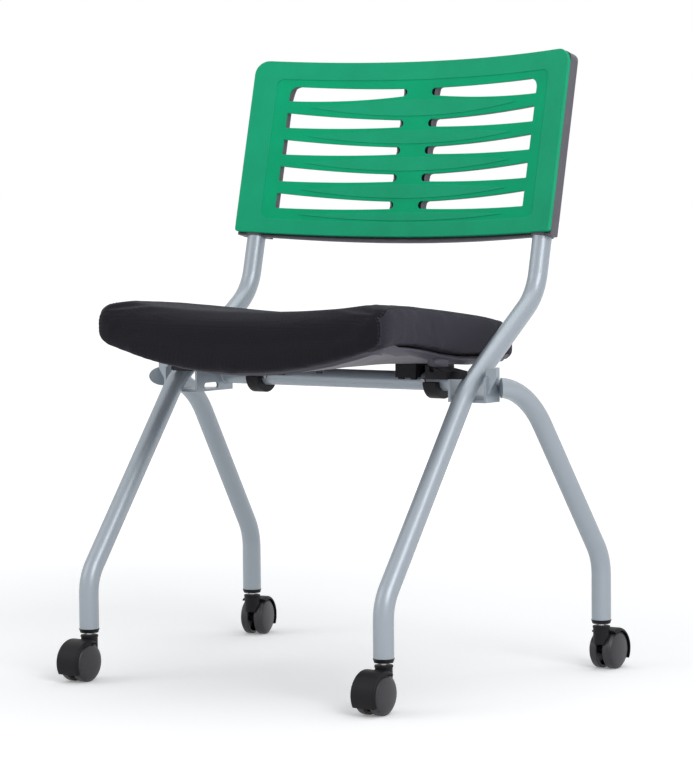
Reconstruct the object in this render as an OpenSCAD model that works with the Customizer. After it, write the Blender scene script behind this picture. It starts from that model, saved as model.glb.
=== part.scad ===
// Nesting office chair: a padded flip-up seat on a bent tube frame,
// a slotted plastic backrest and four twin-wheel casters.
// Axes: +Z up, -Y to the front of the chair, +X to the right when seen from the front.
// Origin: on the floor, below the middle of the wheelbase.

/* [Frame] */
// Outer diameter of the bent frame tubes
tube_od = 25.4; // [22:0.1:28]
// Wall of the bent frame tubes
tube_wall = 1.5; // [1:0.1:2]
// Distance between the axes of the two side tubes
frame_w = 462; // [452:1:480]
// Distance from the front feet to the rear feet
wheelbase = 418; // [410:1:440]
// Height of the lower end of every leg above the floor
leg_end_z = 66; // [65:0.5:72]
// Height of the front leg's lower bend
front_bend_z = 131.5; // [126:0.5:142]
// Centre-line radius of the front leg's lower bend
front_bend_r = 62; // [52:1:72]
// How far the knee of the side tube lies behind the front feet
knee_back = 184.2; // [183:0.1:186]
// Height of the knee of the side tube
knee_z = 376.5; // [376:0.1:377.5]
// Centre-line radius of the knee
knee_r = 110; // [80:1:130]
// How far the hip bend lies behind the front feet
hip_back = 348; // [346:1:351]
// Height of the hip bend, where the side tube turns up to the backrest
hip_z = 490.8; // [489:0.1:494]
// Centre-line radius of the hip bend
hip_r = 75; // [60:1:90]
// Lean of the uprights and the backrest
recline = 13.2; // [12:0.1:14]
// How far each rear leg's root lies outside the axis of its side tube
rear_root_out = 38; // [38:0.5:44]
// How far each rear foot lies outside the axis of its side tube
rear_foot_out = 55; // [49:0.5:69]
// How far the rear leg's root lies behind the front feet
rear_root_back = 198; // [197.5:0.5:200]
// How far the rear leg's top bend lies behind the front feet
rear_top_back = 260.5; // [255:0.5:268]
// Height of the rear leg's root and top bend
rear_top_z = 380; // [378:0.5:382]
// Centre-line radius of the rear leg's top bend
rear_top_r = 120; // [100:1:120]
// Height of the rear leg's lower bend
rear_bend_z = 146.5; // [135:1:155]
// Centre-line radius of the rear leg's lower bend
rear_bend_r = 70; // [60:1:80]

/* [Seat hinge] */
// Diameter of the cross tube that the seat turns on
pivot_d = 24; // [22:0.1:24.4]
// Wall of the cross tube
pivot_wall = 2; // [1.5:0.1:3]
// How far the cross tube lies behind the front feet
pivot_back = 255.5; // [254:0.5:257]
// Height of the cross tube's axis
pivot_z = 381.5; // [381:0.1:382]
// Radial running clearance between the cross tube and the hinge blocks
pivot_clear = 0.06; // [0.03:0.01:0.09]
// Distance of the inner face of each hinge block from the middle
hinge_x = 90; // [84:1:96]
// Width of the saddle that sits over the cross tube
saddle_w = 32; // [28:1:36]
// Width of the hook that closes under the cross tube
hook_w = 20; // [16:1:22]
// Wall of the hook round the cross tube
hook_wall = 10; // [8:0.5:11]
// Gap between the saddle and the hook, where the rivet sits
hook_gap = 10; // [9:0.5:12]
// Depth of the hinge block from front to back
block_d = 44; // [40:1:48]
// Thickness of the saddle above the cross tube
saddle_cover = 3.5; // [3:0.1:4]
// Height of the saddle's lower edge above the cross tube's axis
lip_drop = 5; // [4:0.5:6]
// Thickness of the pan's flat boss above each hinge block
boss_t = 3.5; // [3.4:0.1:4]
// Distance of the hinge screws from the block's front edge
hinge_screw_edge = 5; // [5:0.5:7]
// How far the hinge screws reach into the pan
hinge_screw_in = 3.2; // [2.5:0.1:3.2]
// Diameter of the rivet heads that keep each hinge block in place
stop_d = 7; // [6:0.5:8]
// How far the rivet heads stand out from the cross tube
stop_h = 2.4; // [2:0.1:3]

/* [Gussets] */
// Distance from each gusset's inner face to the axis of its side tube
gusset_reach = 31; // [29:0.5:33]
// Thickness of the gusset's pressed steel
gusset_t = 3.2; // [2.5:0.1:4]
// Height of the underside of the gusset
gusset_z = 361; // [360:0.5:362]
// Height of the gusset's inner web
gusset_inner_h = 32; // [31:0.5:33]
// Height of the gusset's outer web
gusset_outer_h = 43; // [38:1:45]
// How far the gusset's webs start behind the front feet
gusset_front_back = 190; // [188:1:192]
// How far the gusset's flat plate starts behind the front feet
gusset_plate_back = 222; // [218:1:226]
// Width of the arched opening in the gusset's inner web
arch_w = 30; // [26:1:34]
// Height of that opening
arch_h = 8; // [6:0.5:9]

/* [Backrest] */
// How far the backrest reaches past the axis of each side tube
back_over = 22; // [20:0.5:26]
// Height of the front panel along its slope
back_h = 242; // [236:1:250]
// Height of the panel's lower edge above the floor
back_z = 573; // [568:1:580]
// How far the panel's lower corners lie behind the front feet
back_y = 343.5; // [342:0.5:345]
// How deep the backrest is hollowed across its width
back_sag = 38; // [34:0.5:42]
// Thickness of the front panel
panel_t = 2.6; // [2.2:0.1:3]
// Depth of the rim that turns back round the front panel
panel_rim = 7; // [5:0.5:9]
// Radius of the backrest's upper corners
back_corner_r = 20; // [14:1:26]
// Depth of the rear shell at its sides
shell_d = 24.5; // [22:0.5:27]
// Depth of the rear shell between its side columns
shell_mid_d = 13; // [11:0.5:15]
// Wall of the rear shell
shell_wall = 2.4; // [2:0.1:3]
// How far the shell bows down below the panel at the middle
shell_bow = 7; // [4:0.5:10]
// Width of the plain border round the sunk field of the panel
border_w = 34; // [28:1:38]
// Depth of the sunk field of the panel
field_d = 0.8; // [0.4:0.1:1]
// Radius of the sunk field's corners
field_r = 10; // [6:1:14]
// How far the uprights reach up inside the shell
upright_v = 150; // [130:1:170]
// Wall of the shell's sleeves round the uprights
sleeve_wall = 2.2; // [1.8:0.1:2.6]
// Width of the shell's deep column at each side
column_w = 42; // [40:1:46]
// Gap between the shell and the panel in front of it
shell_gap = 0.6; // [0.4:0.1:0.8]
// How far the shell's edge lies inside the panel's edge
shell_inset = 0.6; // [0.4:0.1:1]

/* [Backrest slots] */
// Number of rows of slots
slot_rows = 5; // [3:1:5]
// Distance from one row of slots to the next
slot_pitch = 37.6; // [36:0.2:39]
// Height of the outer end of a slot
slot_outer_h = 20.4; // [17:0.2:22]
// Height of the inner end of a slot
slot_inner_h = 10; // [8:0.2:12]
// Distance from the panel's side edge to the slots' outer ends
slot_edge_in = 53; // [50:1:60]
// Distance from the middle of the backrest to a slot's inner end
slot_inner_x = 20; // [14:1:30]
// Height of the lowest slot's lower edge above the panel's edge
slot_first_v = 33; // [30:0.5:36]
// Radius of the upper outer corner of the top slots
slot_corner_r = 13; // [8:1:16]
// How far a slot's lower edge rises towards the middle
slot_low_rise = 2; // [0:0.5:3]

/* [Seat] */
// Gap at each side where the seat passes between the side tubes
seat_tube_gap = 6.3; // [5:0.1:9]
// How much wider the seat is at its front corners
seat_flare = 40; // [20:1:44]
// How much narrower the seat is at its back
seat_taper = 20; // [12:1:30]
// Depth of the seat from its front edge to its back edge
seat_d = 372; // [360:1:378]
// How far the seat's front edge lies behind the front feet
seat_front_back = 2; // [0:0.5:8]
// Radius of the seat's front corners in plan
seat_front_r = 24; // [20:1:34]
// Radius of the seat's rear corners in plan
seat_rear_r = 46; // [36:1:56]
// Height of the cushion's side crest at the front
crest_z = 492.5; // [486:1:496]
// How far the crest falls from front to back
crest_drop = 37; // [30:1:40]
// How much lower the cushion is at its middle than at its crest, at the front
seat_dip = 17; // [12:1:20]
// Height of the cushion's lower edge at the middle of the front
edge_z = 398.5; // [397:0.5:400]
// How much higher the cushion's lower edge is at the back
edge_rear_rise = 9; // [8:0.5:11]
// How much higher the cushion's lower edge is at the sides, at the front
edge_side_rise = 40; // [32:1:42]
// How far the middle of the seat's front edge bulges forward
seat_bulge = 8; // [4:1:12]
// Radius of the roll along the cushion's upper edge, at the front and the back
roll_r = 30; // [24:1:34]
// Radius of the roll along the upper edge of the cushion's side panels
side_roll_r = 14; // [10:1:20]
// Radius of the roll along the cushion's lower edge
foot_r = 11; // [7:1:14]
// How far the cushion's sides are drawn in at mid height
draw_in = 2.5; // [1:0.5:4]
// Thickness of the moulded board inside the cushion
board_t = 5; // [4:0.5:6]
// Wall of the seat pan
pan_t = 3; // [2.6:0.2:3.6]
// Clearance between the cushion and what lies next to it
soft_clear = 0.5; // [0.4:0.05:0.7]
// How far the board's edge lies inside the seat's edge
board_inset = 24; // [22:1:28]
// Clearance above the board
board_drop = 0.8; // [0.6:0.1:1]
// Clearance below the board
board_rest = 0.5; // [0.4:0.1:0.8]
// Room round the board inside the pan
board_room = 2; // [1.5:0.1:3]
// How far the pan's rim lies inside the seat's edge
rim_in = 4; // [3:0.5:6]
// Height of the pan's rim
rim_h = 3; // [2:0.5:4]
// How far the pan's skirt reaches down below the cushion at the front
pan_skirt_front = 4.5; // [4:0.5:6]
// How far the pan's skirt reaches down below the cushion at the sides
pan_skirt_side = 11; // [10:0.5:12]
// How far the foot of the skirt lies inside the seat's edge
skirt_in = 20; // [18:0.5:22]
// Width of the skirt's foot
skirt_w = 5; // [4:0.5:6]
// Width of the slope from the skirt's foot up to the pan's underside
skirt_slope = 6; // [5:0.5:8]

/* [Casters] */
// Diameter of the caster wheels
wheel_d = 50; // [46:1:52]
// Width over both wheels of a caster
caster_w = 38; // [34:1:42]
// Gap between the two wheels of a caster
wheel_gap = 9; // [8:0.5:11]
// Distance from the swivel axis to the wheel axle
caster_trail = 18; // [16:0.5:20]
// Diameter of the wheel axle
axle_d = 6; // [5:0.5:7]
// Diameter of the caster stem
stem_d = 8; // [7:0.5:10]
// Radial running clearance of the stems and axles
caster_clear = 0.05; // [0.03:0.01:0.09]
// Diameter of the caster's neck
neck_d = 22; // [20:0.5:24]
// Height of the top of the caster's neck
neck_z = 58; // [57:0.5:59]
// Thickness of the caster's hood
hood_t = 2.6; // [2:0.1:3]
// Height of the flared lip of the leg ferrule
lip_h = 5; // [3:0.5:5]
// Side play between each wheel and the web
web_play = 1; // [0.6:0.1:1.4]
// Gap between the wheels and the hood over them
hood_gap = 1.4; // [1:0.1:2]
// How far the hood's edges lie inside the wheels' faces
hood_side_in = 1; // [0.5:0.1:2]
// Angle from the top of the wheels to the hood's front edge
hood_front_angle = 152; // [140:1:158]
// Height of the stem's lower end
stem_base_z = 34; // [33:0.5:36]
// Height of the stem's upper end
stem_top_z = 96; // [90:1:99]
// Length of the ferrule inside the leg
ferrule_h = 34; // [30:1:38]
// Radius of the boss round the axle
axle_boss_r = 8; // [7:0.5:9]
// Wall of the wheel outside the axle's end
axle_end_wall = 3.5; // [3:0.1:4]
// Height of the wheel's domed face
dome_h = 4.5; // [3:0.5:5]
// Width of the wheel's bevelled edge
rim_chamfer = 1.5; // [1:0.1:2]
// Radius of the wheel's hub
hub_r = 7; // [6.5:0.5:8]
// Thickness of the wheel's rim
rim_t = 3.5; // [3:0.1:4]
// Depth of the pocket in the wheel's inner side
pocket_d = 8; // [6:0.5:8.5]
// Turn of the rear left caster from straight back
rear_left_turn = 13; // [0:1:16]

/* [Seat fittings] */
// How far each rest pad starts inside the axis of its side tube
pad_reach = 45; // [43:0.5:47]
// Width of each rest pad
pad_w = 43; // [40:0.5:44]
// Depth of each rest pad
pad_d = 30; // [28:0.5:32]
// Depth of the lip that reaches over the tube
pad_lip_d = 18; // [14:0.5:22]
// How far the broad part of the pad ends inside the tube's axis
pad_joint_in = 14; // [13:0.5:16]
// How far the pad starts in front of the knee
pad_before = 24.2; // [22:0.1:26]
// Height of the pad's lower edge above the knee
pad_up = 14.5; // [14:0.1:15]
// Height of the rest pad
pad_h = 9.6; // [9:0.1:10]
// Width of the slot in the pad's front
pad_slot_w = 7; // [5:0.5:8]
// Depth of that slot
pad_slot_d = 4; // [2:0.5:5]
// Height of that slot
pad_slot_h = 7; // [5:0.5:8]
// Clearance between the rest pad and the tube
pad_contact = 0.3; // [0.2:0.05:0.5]
// Width of the pan's boss above each rest pad
pad_boss_w = 14; // [12:0.5:16]
// Height of the pan's boss above each rest pad
pad_boss_t = 8; // [7:0.5:9]
// How far that boss lies outside the pad's inner end
pad_boss_in = 4; // [3:0.5:5]
// How far the slot lies outside the pad's inner end
pad_slot_in = 6; // [5:0.5:7]
// Distance of the bumpers from the seat's rear edge
bumper_rear_in = 56; // [50:1:62]
// Distance of the bumpers from the seat's side edge at the back
bumper_side_in = 34; // [32:1:38]
// Diameter of the rubber bumpers
bumper_d = 12; // [10:0.5:14]
// Height of the rubber bumpers
bumper_h = 4; // [3:0.5:5]
// Distance of the pan screws from the middle
pan_screw_x = 60; // [50:1:66]
// Distance of the front pan screws from the seat's front edge
pan_screw_front_in = 107; // [95:1:120]
// Distance of the rear pan screws from the seat's rear edge
pan_screw_rear_in = 45; // [40:1:60]
// Height of the bosses under the pan
boss_h = 1.5; // [1:0.1:2]
// Diameter of the screws
screw_d = 4.5; // [4:0.1:5]
// Diameter of the screw heads
screw_head_d = 9; // [8:0.1:9.5]
// Height of the screw heads
screw_head_h = 2.6; // [2:0.1:3]

/* [Hidden] */

// Smoothness of round pieces, and of the wide arc across the backrest
$fn = 64;
wide_fn = 720;
// How far a cutting shape runs past what it cuts
over = 1;
// Gap between rigid pieces of one body that lie along a curved face
seat_gap = 0.1;
// A tube's bends are a hair thicker than its straight runs, which reach a little way into them
bend_swell = 0.1;
bend_lap = 0.5;

// Colours
silver = "#b9c0c6";
steel = "#d5d8da";
green = "#1fa37c";
shell_grey = "#6b676f";
pan_grey = "#77747c";
black = "#26262b";
fabric = "#35343a";

// Front and rear feet, and the main stations measured back from the front feet
front_y = -wheelbase / 2;
rear_y = wheelbase / 2;
side_x = frame_w / 2;
rear_root_w = frame_w + 2 * rear_root_out;
rear_foot_w = frame_w + 2 * rear_foot_out;
gusset_x = side_x - gusset_reach;
knee_y = front_y + knee_back;
hip_y = front_y + hip_back;
pivot_y = front_y + pivot_back;
pivot_r = pivot_d / 2;
tube_r = tube_od / 2;

// Backrest frame: x across, v up its slope, n back through its thickness
back_w = frame_w + 2 * back_over;
slot_outer_x = back_w / 2 - slot_edge_in;
back_r = (back_w * back_w / 4 + back_sag * back_sag) / (2 * back_sag);
panel_y = front_y + back_y;
sleeve_r = tube_r + seat_gap + sleeve_wall;
upright_n = (hip_y + tan(recline) * (back_z - hip_z) - panel_y) * cos(recline);

// Path of the side tube from the front foot to its end inside the backrest
upright_end_y = panel_y + upright_n * cos(recline) + upright_v * sin(recline);
upright_end_z = back_z - upright_n * sin(recline) + upright_v * cos(recline);
function side_path(s) = [
    [s * side_x, front_y, leg_end_z],
    [s * side_x, front_y, front_bend_z],
    [s * side_x, knee_y, knee_z],
    [s * side_x, hip_y, hip_z],
    [s * side_x, upright_end_y, upright_end_z]
];
side_bends = [front_bend_r, knee_r, hip_r];

// Path of the rear leg from its welded root to its foot
function rear_path(s) = [
    [s * rear_root_w / 2, front_y + rear_top_back - rear_top_r, rear_top_z],
    [s * rear_root_w / 2, front_y + rear_top_back, rear_top_z],
    [s * rear_foot_w / 2, rear_y, rear_bend_z],
    [s * rear_foot_w / 2, rear_y, leg_end_z]
];
rear_bends = [rear_top_r, rear_bend_r];

// Gusset: where its webs start and end, the gap at its welds and the slant of its ear
gusset_y = front_y + gusset_front_back;
gusset_outer_x = rear_root_w / 2 - tube_r - seat_gap;
gusset_rear_y = pivot_y + pivot_r;
weld_gap = 0.1;
ear_low_share = 1.5;

// Caster heights and the parts of the hood
wheel_r = wheel_d / 2;
axle_r = axle_d / 2;
stem_r = stem_d / 2;
neck_r = neck_d / 2;
web_t = wheel_gap - 2 * web_play;
neck_root = 4;
hood_in_r = wheel_r + hood_gap;
hood_out_r = hood_in_r + hood_t;
hood_stem_angle = 8;
socket_top_z = leg_end_z + ferrule_h;
lip_z = leg_end_z - lip_h;
lip_in = 1;
lip_out = 0.6;

// Seat: stations along its depth, and its side walls
seat_y0 = front_y + seat_front_back;
seat_y1 = seat_y0 + seat_d;
seat_mid_w = frame_w - tube_od - 2 * seat_tube_gap;
seat_front_w = seat_mid_w + seat_flare;
seat_rear_w = seat_mid_w - seat_taper;
seat_mid_share = 0.32;
seat_centre_share = 0.48;
seat_cy = seat_y0 + seat_centre_share * seat_d;
pan_skirt_share = 0.14;

// Hinge block: its seat below the pan, its width and its screws
boss_z = pivot_z + pivot_r + saddle_cover;
block_w = saddle_w + hook_gap + hook_w;
hinge_screw_share = [0.2, 0.8];
hinge_screw_y = pivot_y - block_d / 2 + hinge_screw_edge;

// Rest pads, rear bumpers and the screws through the pan
pad_in_x = side_x - pad_reach;
pad_joint_x = side_x - pad_joint_in;
pad_boss_x = pad_in_x + pad_boss_in;
pad_slot_x = pad_in_x + pad_slot_in;
pad_y = knee_y - pad_before;
pad_bottom_z = knee_z + pad_up;
pad_top_z = pad_bottom_z + pad_h;
bumper_x = seat_rear_w / 2 - bumper_side_in;
bumper_y = seat_y1 - bumper_rear_in;
pan_screw_y = [seat_y0 + pan_screw_front_in, seat_y1 - pan_screw_rear_in];

// Small helpers

// Length of a vector, and a vector of length 1
function unit(v) = v / norm(v);

// Smooth step from 0 to 1 as t passes from a to b
function ease(t, a, b) =
    let (u = min(1, max(0, (t - a) / (b - a))))
    (1 - cos(180 * u)) / 2;

// Places its children with their x, y and z along three given directions
module along(x, y, z, at) {
    multmatrix([
        [x[0], y[0], z[0], at[0]],
        [x[1], y[1], z[1], at[1]],
        [x[2], y[2], z[2], at[2]],
        [0, 0, 0, 1]
    ])
    children();
}

// Straight run of rod between two points
module rod_run(a, b, d) {
    z = unit(b - a);
    side = abs(z[2]) > 0.9 ? [1, 0, 0] : [0, 0, 1];
    x = unit(cross(side, z));
    along(x, cross(z, x), z, a)
    cylinder(d = d, h = norm(b - a));
}

// Distance from a corner of the path to where its bend starts
function bend_trim(p, q, r, bend) =
    let (u = unit(q - p), v = unit(r - q))
    bend * tan(acos(u * v) / 2);

// Bend of rod round one corner of the path
module rod_bend(p, q, r, bend, d) {
    u = unit(q - p);
    v = unit(r - q);
    start = q - u * bend_trim(p, q, r, bend);
    inward = unit(v - u * (u * v));
    along(-inward, u, cross(-inward, u), start + inward * bend)
    rotate_extrude(angle = acos(u * v), $fn = 180)
    translate([bend, 0])
    circle(d = d);
}

// Round rod that follows a path of corners, with one bend radius for each corner
module bent_rod(path, bends, d) {
    last = len(path) - 1;
    for (i = [0:last - 1]) {
        u = unit(path[i + 1] - path[i]);
        trim_a = i == 0 ? 0 : bend_trim(path[i - 1], path[i], path[i + 1], bends[i - 1]);
        trim_b = i == last - 1 ? 0 : bend_trim(path[i], path[i + 1], path[i + 2], bends[i]);
        into_a = i == 0 ? 0 : bend_lap;
        into_b = i == last - 1 ? 0 : bend_lap;
        rod_run(path[i] + u * (trim_a - into_a), path[i + 1] - u * (trim_b - into_b), d);
    }
    for (i = [1:last - 1])
        rod_bend(path[i - 1], path[i], path[i + 1], bends[i - 1], d + bend_swell);
}

// The same path with both of its ends run on a little
function run_on(path) =
    let (last = len(path) - 1)
    [for (i = [0:last])
        i == 0 ? path[0] - over * unit(path[1] - path[0])
        : i == last ? path[last] + over * unit(path[last] - path[last - 1])
        : path[i]];

// Hollow tube along a path
module bent_tube(path, bends, od, wall) {
    difference() {
        bent_rod(path, bends, od);
        bent_rod(run_on(path), bends, od - 2 * wall);
    }
}

// Frame

module side_tube(s) {
    color(silver)
    bent_tube(side_path(s), side_bends, tube_od, tube_wall);
}

// Rear leg, cut off square at its root, where a welded disc closes it
module rear_leg(s) {
    root_y = front_y + rear_root_back;
    color(silver)
    mirror([s > 0 ? 1 : 0, 0, 0])
    difference() {
        bent_rod(rear_path(-1), rear_bends, tube_od);
        difference() {
            bent_rod(run_on(rear_path(-1)), rear_bends, tube_od - 2 * tube_wall);
            before(root_y + tube_wall);
        }
        before(root_y);
    }
}

// Everything in front of a given place
module before(y) {
    reach = wheelbase;
    translate([-frame_w, y - reach, 0])
    cube([2 * frame_w, reach, 2 * knee_z]);
}

// Flat outline of the gusset's plate, with its outer rear corner cut back
module gusset_plate() {
    linear_extrude(gusset_t)
    polygon([
        [gusset_x, gusset_y],
        [gusset_outer_x, gusset_y],
        [gusset_outer_x, front_y + gusset_plate_back],
        [gusset_x + gusset_t, gusset_rear_y],
        [gusset_x, gusset_rear_y]
    ]);
}

// Inner web, with an arched opening below the cross tube's weld
module gusset_inner_web() {
    web_d = gusset_rear_y - gusset_y;
    difference() {
        cube([gusset_t, web_d, gusset_inner_h]);
        translate([-over, web_d / 2 - arch_w / 4, gusset_t + arch_h / 2])
        rotate([0, 90, 0])
        linear_extrude(gusset_t + 2 * over) {
            for (e = [-1, 1])
                translate([0, e * (arch_w - arch_h) / 2])
                circle(d = arch_h);
            square([arch_h, arch_w - arch_h], center = true);
        }
    }
}

// Outer web, which backs the root of the rear leg
module gusset_outer_web() {
    web_d = gusset_plate_back - gusset_front_back;
    translate([-gusset_t, 0, 0])
    rotate([90, 0, 90])
    linear_extrude(gusset_t)
    polygon([
        [0, 0],
        [web_d, 0],
        [web_d, gusset_outer_h],
        [web_d - tube_r, gusset_outer_h],
        [0, gusset_outer_h - tube_r]
    ]);
}

// Pointed ear in front of the rear leg's root
module gusset_ear() {
    ear_w = tube_r + gusset_t;
    ear_mid = gusset_outer_h - tube_r;
    ear_low = ear_mid - tube_r * ear_low_share;
    translate([gusset_outer_x - gusset_t, front_y + rear_root_back - weld_gap, gusset_z])
    rotate([90, 0, 0])
    linear_extrude(gusset_t)
    polygon([
        [0, gusset_outer_h],
        [ear_w, gusset_outer_h],
        [ear_w, ear_mid],
        [gusset_t, ear_low],
        [0, ear_low]
    ]);
}

module gusset(s) {
    color(silver)
    difference() {
        mirror([s < 0 ? 1 : 0, 0, 0])
        union() {
            translate([0, 0, gusset_z])
            gusset_plate();
            translate([gusset_x, gusset_y, gusset_z])
            gusset_inner_web();
            translate([gusset_outer_x, gusset_y, gusset_z])
            gusset_outer_web();
            gusset_ear();
        }
        bent_rod(side_path(s), side_bends, tube_od + 2 * weld_gap);
    }
}

module cross_tube() {
    color(silver)
    translate([-gusset_x, pivot_y, pivot_z])
    rotate([0, 90, 0])
    difference() {
        cylinder(d = pivot_d, h = 2 * gusset_x);
        translate([0, 0, -over])
        cylinder(d = pivot_d - 2 * pivot_wall, h = 2 * gusset_x + 2 * over);
    }
}

// Rivet heads on the cross tube that keep the hinge blocks from sliding
module hinge_stops() {
    color(steel)
    for (s = [-1, 1])
        translate([s * (hinge_x + saddle_w + hook_gap / 2), pivot_y, pivot_z])
        rotate([90, 0, 0])
        difference() {
            cylinder(d = stop_d, h = pivot_r + stop_h);
            rotate([0, 90, 0])
            cylinder(r = pivot_r, h = 2 * stop_d, center = true);
        }
}

// Backrest

// Places its children in the backrest's own frame
module in_back() {
    translate([0, panel_y, back_z])
    rotate([-recline, 0, 0])
    children();
}

// Solid between two arcs that run across the backrest, n0 to n1 behind its front face
module back_layer(n0, n1, v0, v1) {
    translate([0, back_sag - back_r, v0])
    difference() {
        cylinder(r = back_r + n1, h = v1 - v0, $fn = wide_fn);
        translate([0, 0, -over])
        cylinder(r = back_r + n0, h = v1 - v0 + 2 * over, $fn = wide_fn);
    }
}

// Pushes an outline drawn in x and v through the backrest's thickness
module through_back(n0, n1) {
    translate([0, n1, 0])
    rotate([90, 0, 0])
    linear_extrude(n1 - n0)
    children();
}

// Outline of the backrest drawn in by an inset, with its lower edge bowed down
module back_outline(inset, bow) {
    hw = back_w / 2 - inset;
    top = back_h - inset;
    top_r = back_corner_r - inset;
    steps = 12;
    polygon(concat(
        [for (i = [0:steps])
            let (x = hw * (2 * i / steps - 1))
            [x, inset - bow * (1 - pow(x / hw, 2))]],
        [for (a = [0:15:90])
            [hw - top_r + top_r * cos(a), top - top_r + top_r * sin(a)]],
        [for (a = [90:15:180])
            [-hw + top_r + top_r * cos(a), top - top_r + top_r * sin(a)]]
    ));
}

// Sunk field of the panel inside its plain border
field_top_share = 0.75;

module field_outline() {
    hw = back_w / 2 - border_w;
    v0 = border_w * field_top_share - field_r / 2;
    v1 = back_h - border_w * field_top_share;
    polygon(concat(
        [for (a = [180:30:270]) [-hw + field_r + field_r * cos(a), v0 + field_r + field_r * sin(a)]],
        [for (a = [270:30:360]) [hw - field_r + field_r * cos(a), v0 + field_r + field_r * sin(a)]],
        [for (a = [0:30:90]) [hw - field_r + field_r * cos(a), v1 - field_r + field_r * sin(a)]],
        [for (a = [90:30:180]) [-hw + field_r + field_r * cos(a), v1 - field_r + field_r * sin(a)]]
    ));
}

// Height of a slot's lower and upper edge at a share of the way out from the middle
slot_power = 1.4;
function slot_low(row, share) =
    slot_first_v + row * slot_pitch + slot_low_rise * (1 - share) * (1 - share);
function slot_high(row, share) =
    row == slot_rows - 1
    ? slot_low(row, 0) + slot_inner_h + slot_low_rise * share
    : slot_low(row, 0) + slot_inner_h
        + (slot_outer_h - slot_inner_h - slot_low_rise) * pow(share, slot_power);

// Outline of one slot on side s, grown outwards all round; its inner end is round
module slot_outline(row, s, grow) {
    steps = 6;
    end_r = slot_inner_h / 2 + grow;
    start_x = slot_inner_x + slot_inner_h / 2;
    run = slot_outer_x - start_x;
    mid_v = slot_low(row, 0) + slot_inner_h / 2;
    corner = row == slot_rows - 1 ? slot_corner_r + grow : 0;
    outer_x = slot_outer_x + grow;
    top_v = slot_high(row, 1) + grow;
    corner_x = outer_x - corner;
    polygon(concat(
        [for (a = [90:30:270]) [s * (start_x + end_r * cos(a)), mid_v + end_r * sin(a)]],
        [for (i = [1:steps])
            let (t = i / steps)
            [s * (start_x + run * t + (i == steps ? grow : 0)), slot_low(row, t) - grow]],
        corner > 0
            ? [for (a = [0:15:90]) [s * (corner_x + corner * cos(a)), top_v - corner + corner * sin(a)]]
            : [[s * outer_x, top_v]],
        [for (i = [steps - 1:-1:1])
            let (t = i / steps)
            if (start_x + run * t < corner_x - grow)
            [s * (start_x + run * t), slot_high(row, t) + grow]]
    ));
}

module all_slots(grow) {
    for (row = [0:slot_rows - 1])
        for (s = [-1, 1])
            slot_outline(row, s, grow);
}

// Raised lens on the bar between two rows, pointed at both ends
lens_x_share = 0.83;
lens_h_share = 0.42;
lens_up = 0.7;

module bar_lens(row) {
    half = slot_outer_x * lens_x_share;
    low = slot_high(row, 0);
    high = slot_low(row + 1, 0);
    mid = (low + high) / 2;
    rise = (high - low) * lens_h_share;
    steps = 10;
    polygon(concat(
        [for (i = [-steps:steps]) [half * i / steps, mid - rise * (1 - pow(i / steps, 2))]],
        [for (i = [steps - 1:-1:1 - steps]) [half * i / steps, mid + rise * (1 - pow(i / steps, 2))]]
    ));
}

module back_panel() {
    color(green)
    in_back()
    difference() {
        union() {
            intersection() {
                back_layer(0, panel_t, -over, back_h + over);
                through_back(-over, back_sag + panel_t + over)
                back_outline(0, 0);
            }
            intersection() {
                back_layer(panel_t / 2, panel_rim, -over, back_h + over);
                through_back(-over, back_sag + panel_rim + over)
                difference() {
                    back_outline(0, 0);
                    back_outline(panel_t, 0);
                    // Room for the uprights, which come in from below
                    for (s = [-1, 1])
                        translate([s * side_x - sleeve_r - shell_gap, -over])
                        square([2 * (sleeve_r + shell_gap), panel_t + 2 * over]);
                }
            }
        }
        intersection() {
            back_layer(-over, field_d, -over, back_h + over);
            through_back(-2 * over, back_sag + panel_t)
            difference() {
                field_outline();
                for (row = [0:slot_rows - 2])
                    bar_lens(row);
            }
        }
        through_back(-over, back_sag + panel_rim + over)
        all_slots(0);
    }
}

// Sleeve that holds the end of an upright, or the room inside it
module upright_sleeve(s, r, v0, v1) {
    translate([s * side_x, upright_n, v0])
    cylinder(r = r, h = v1 - v0);
}

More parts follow.
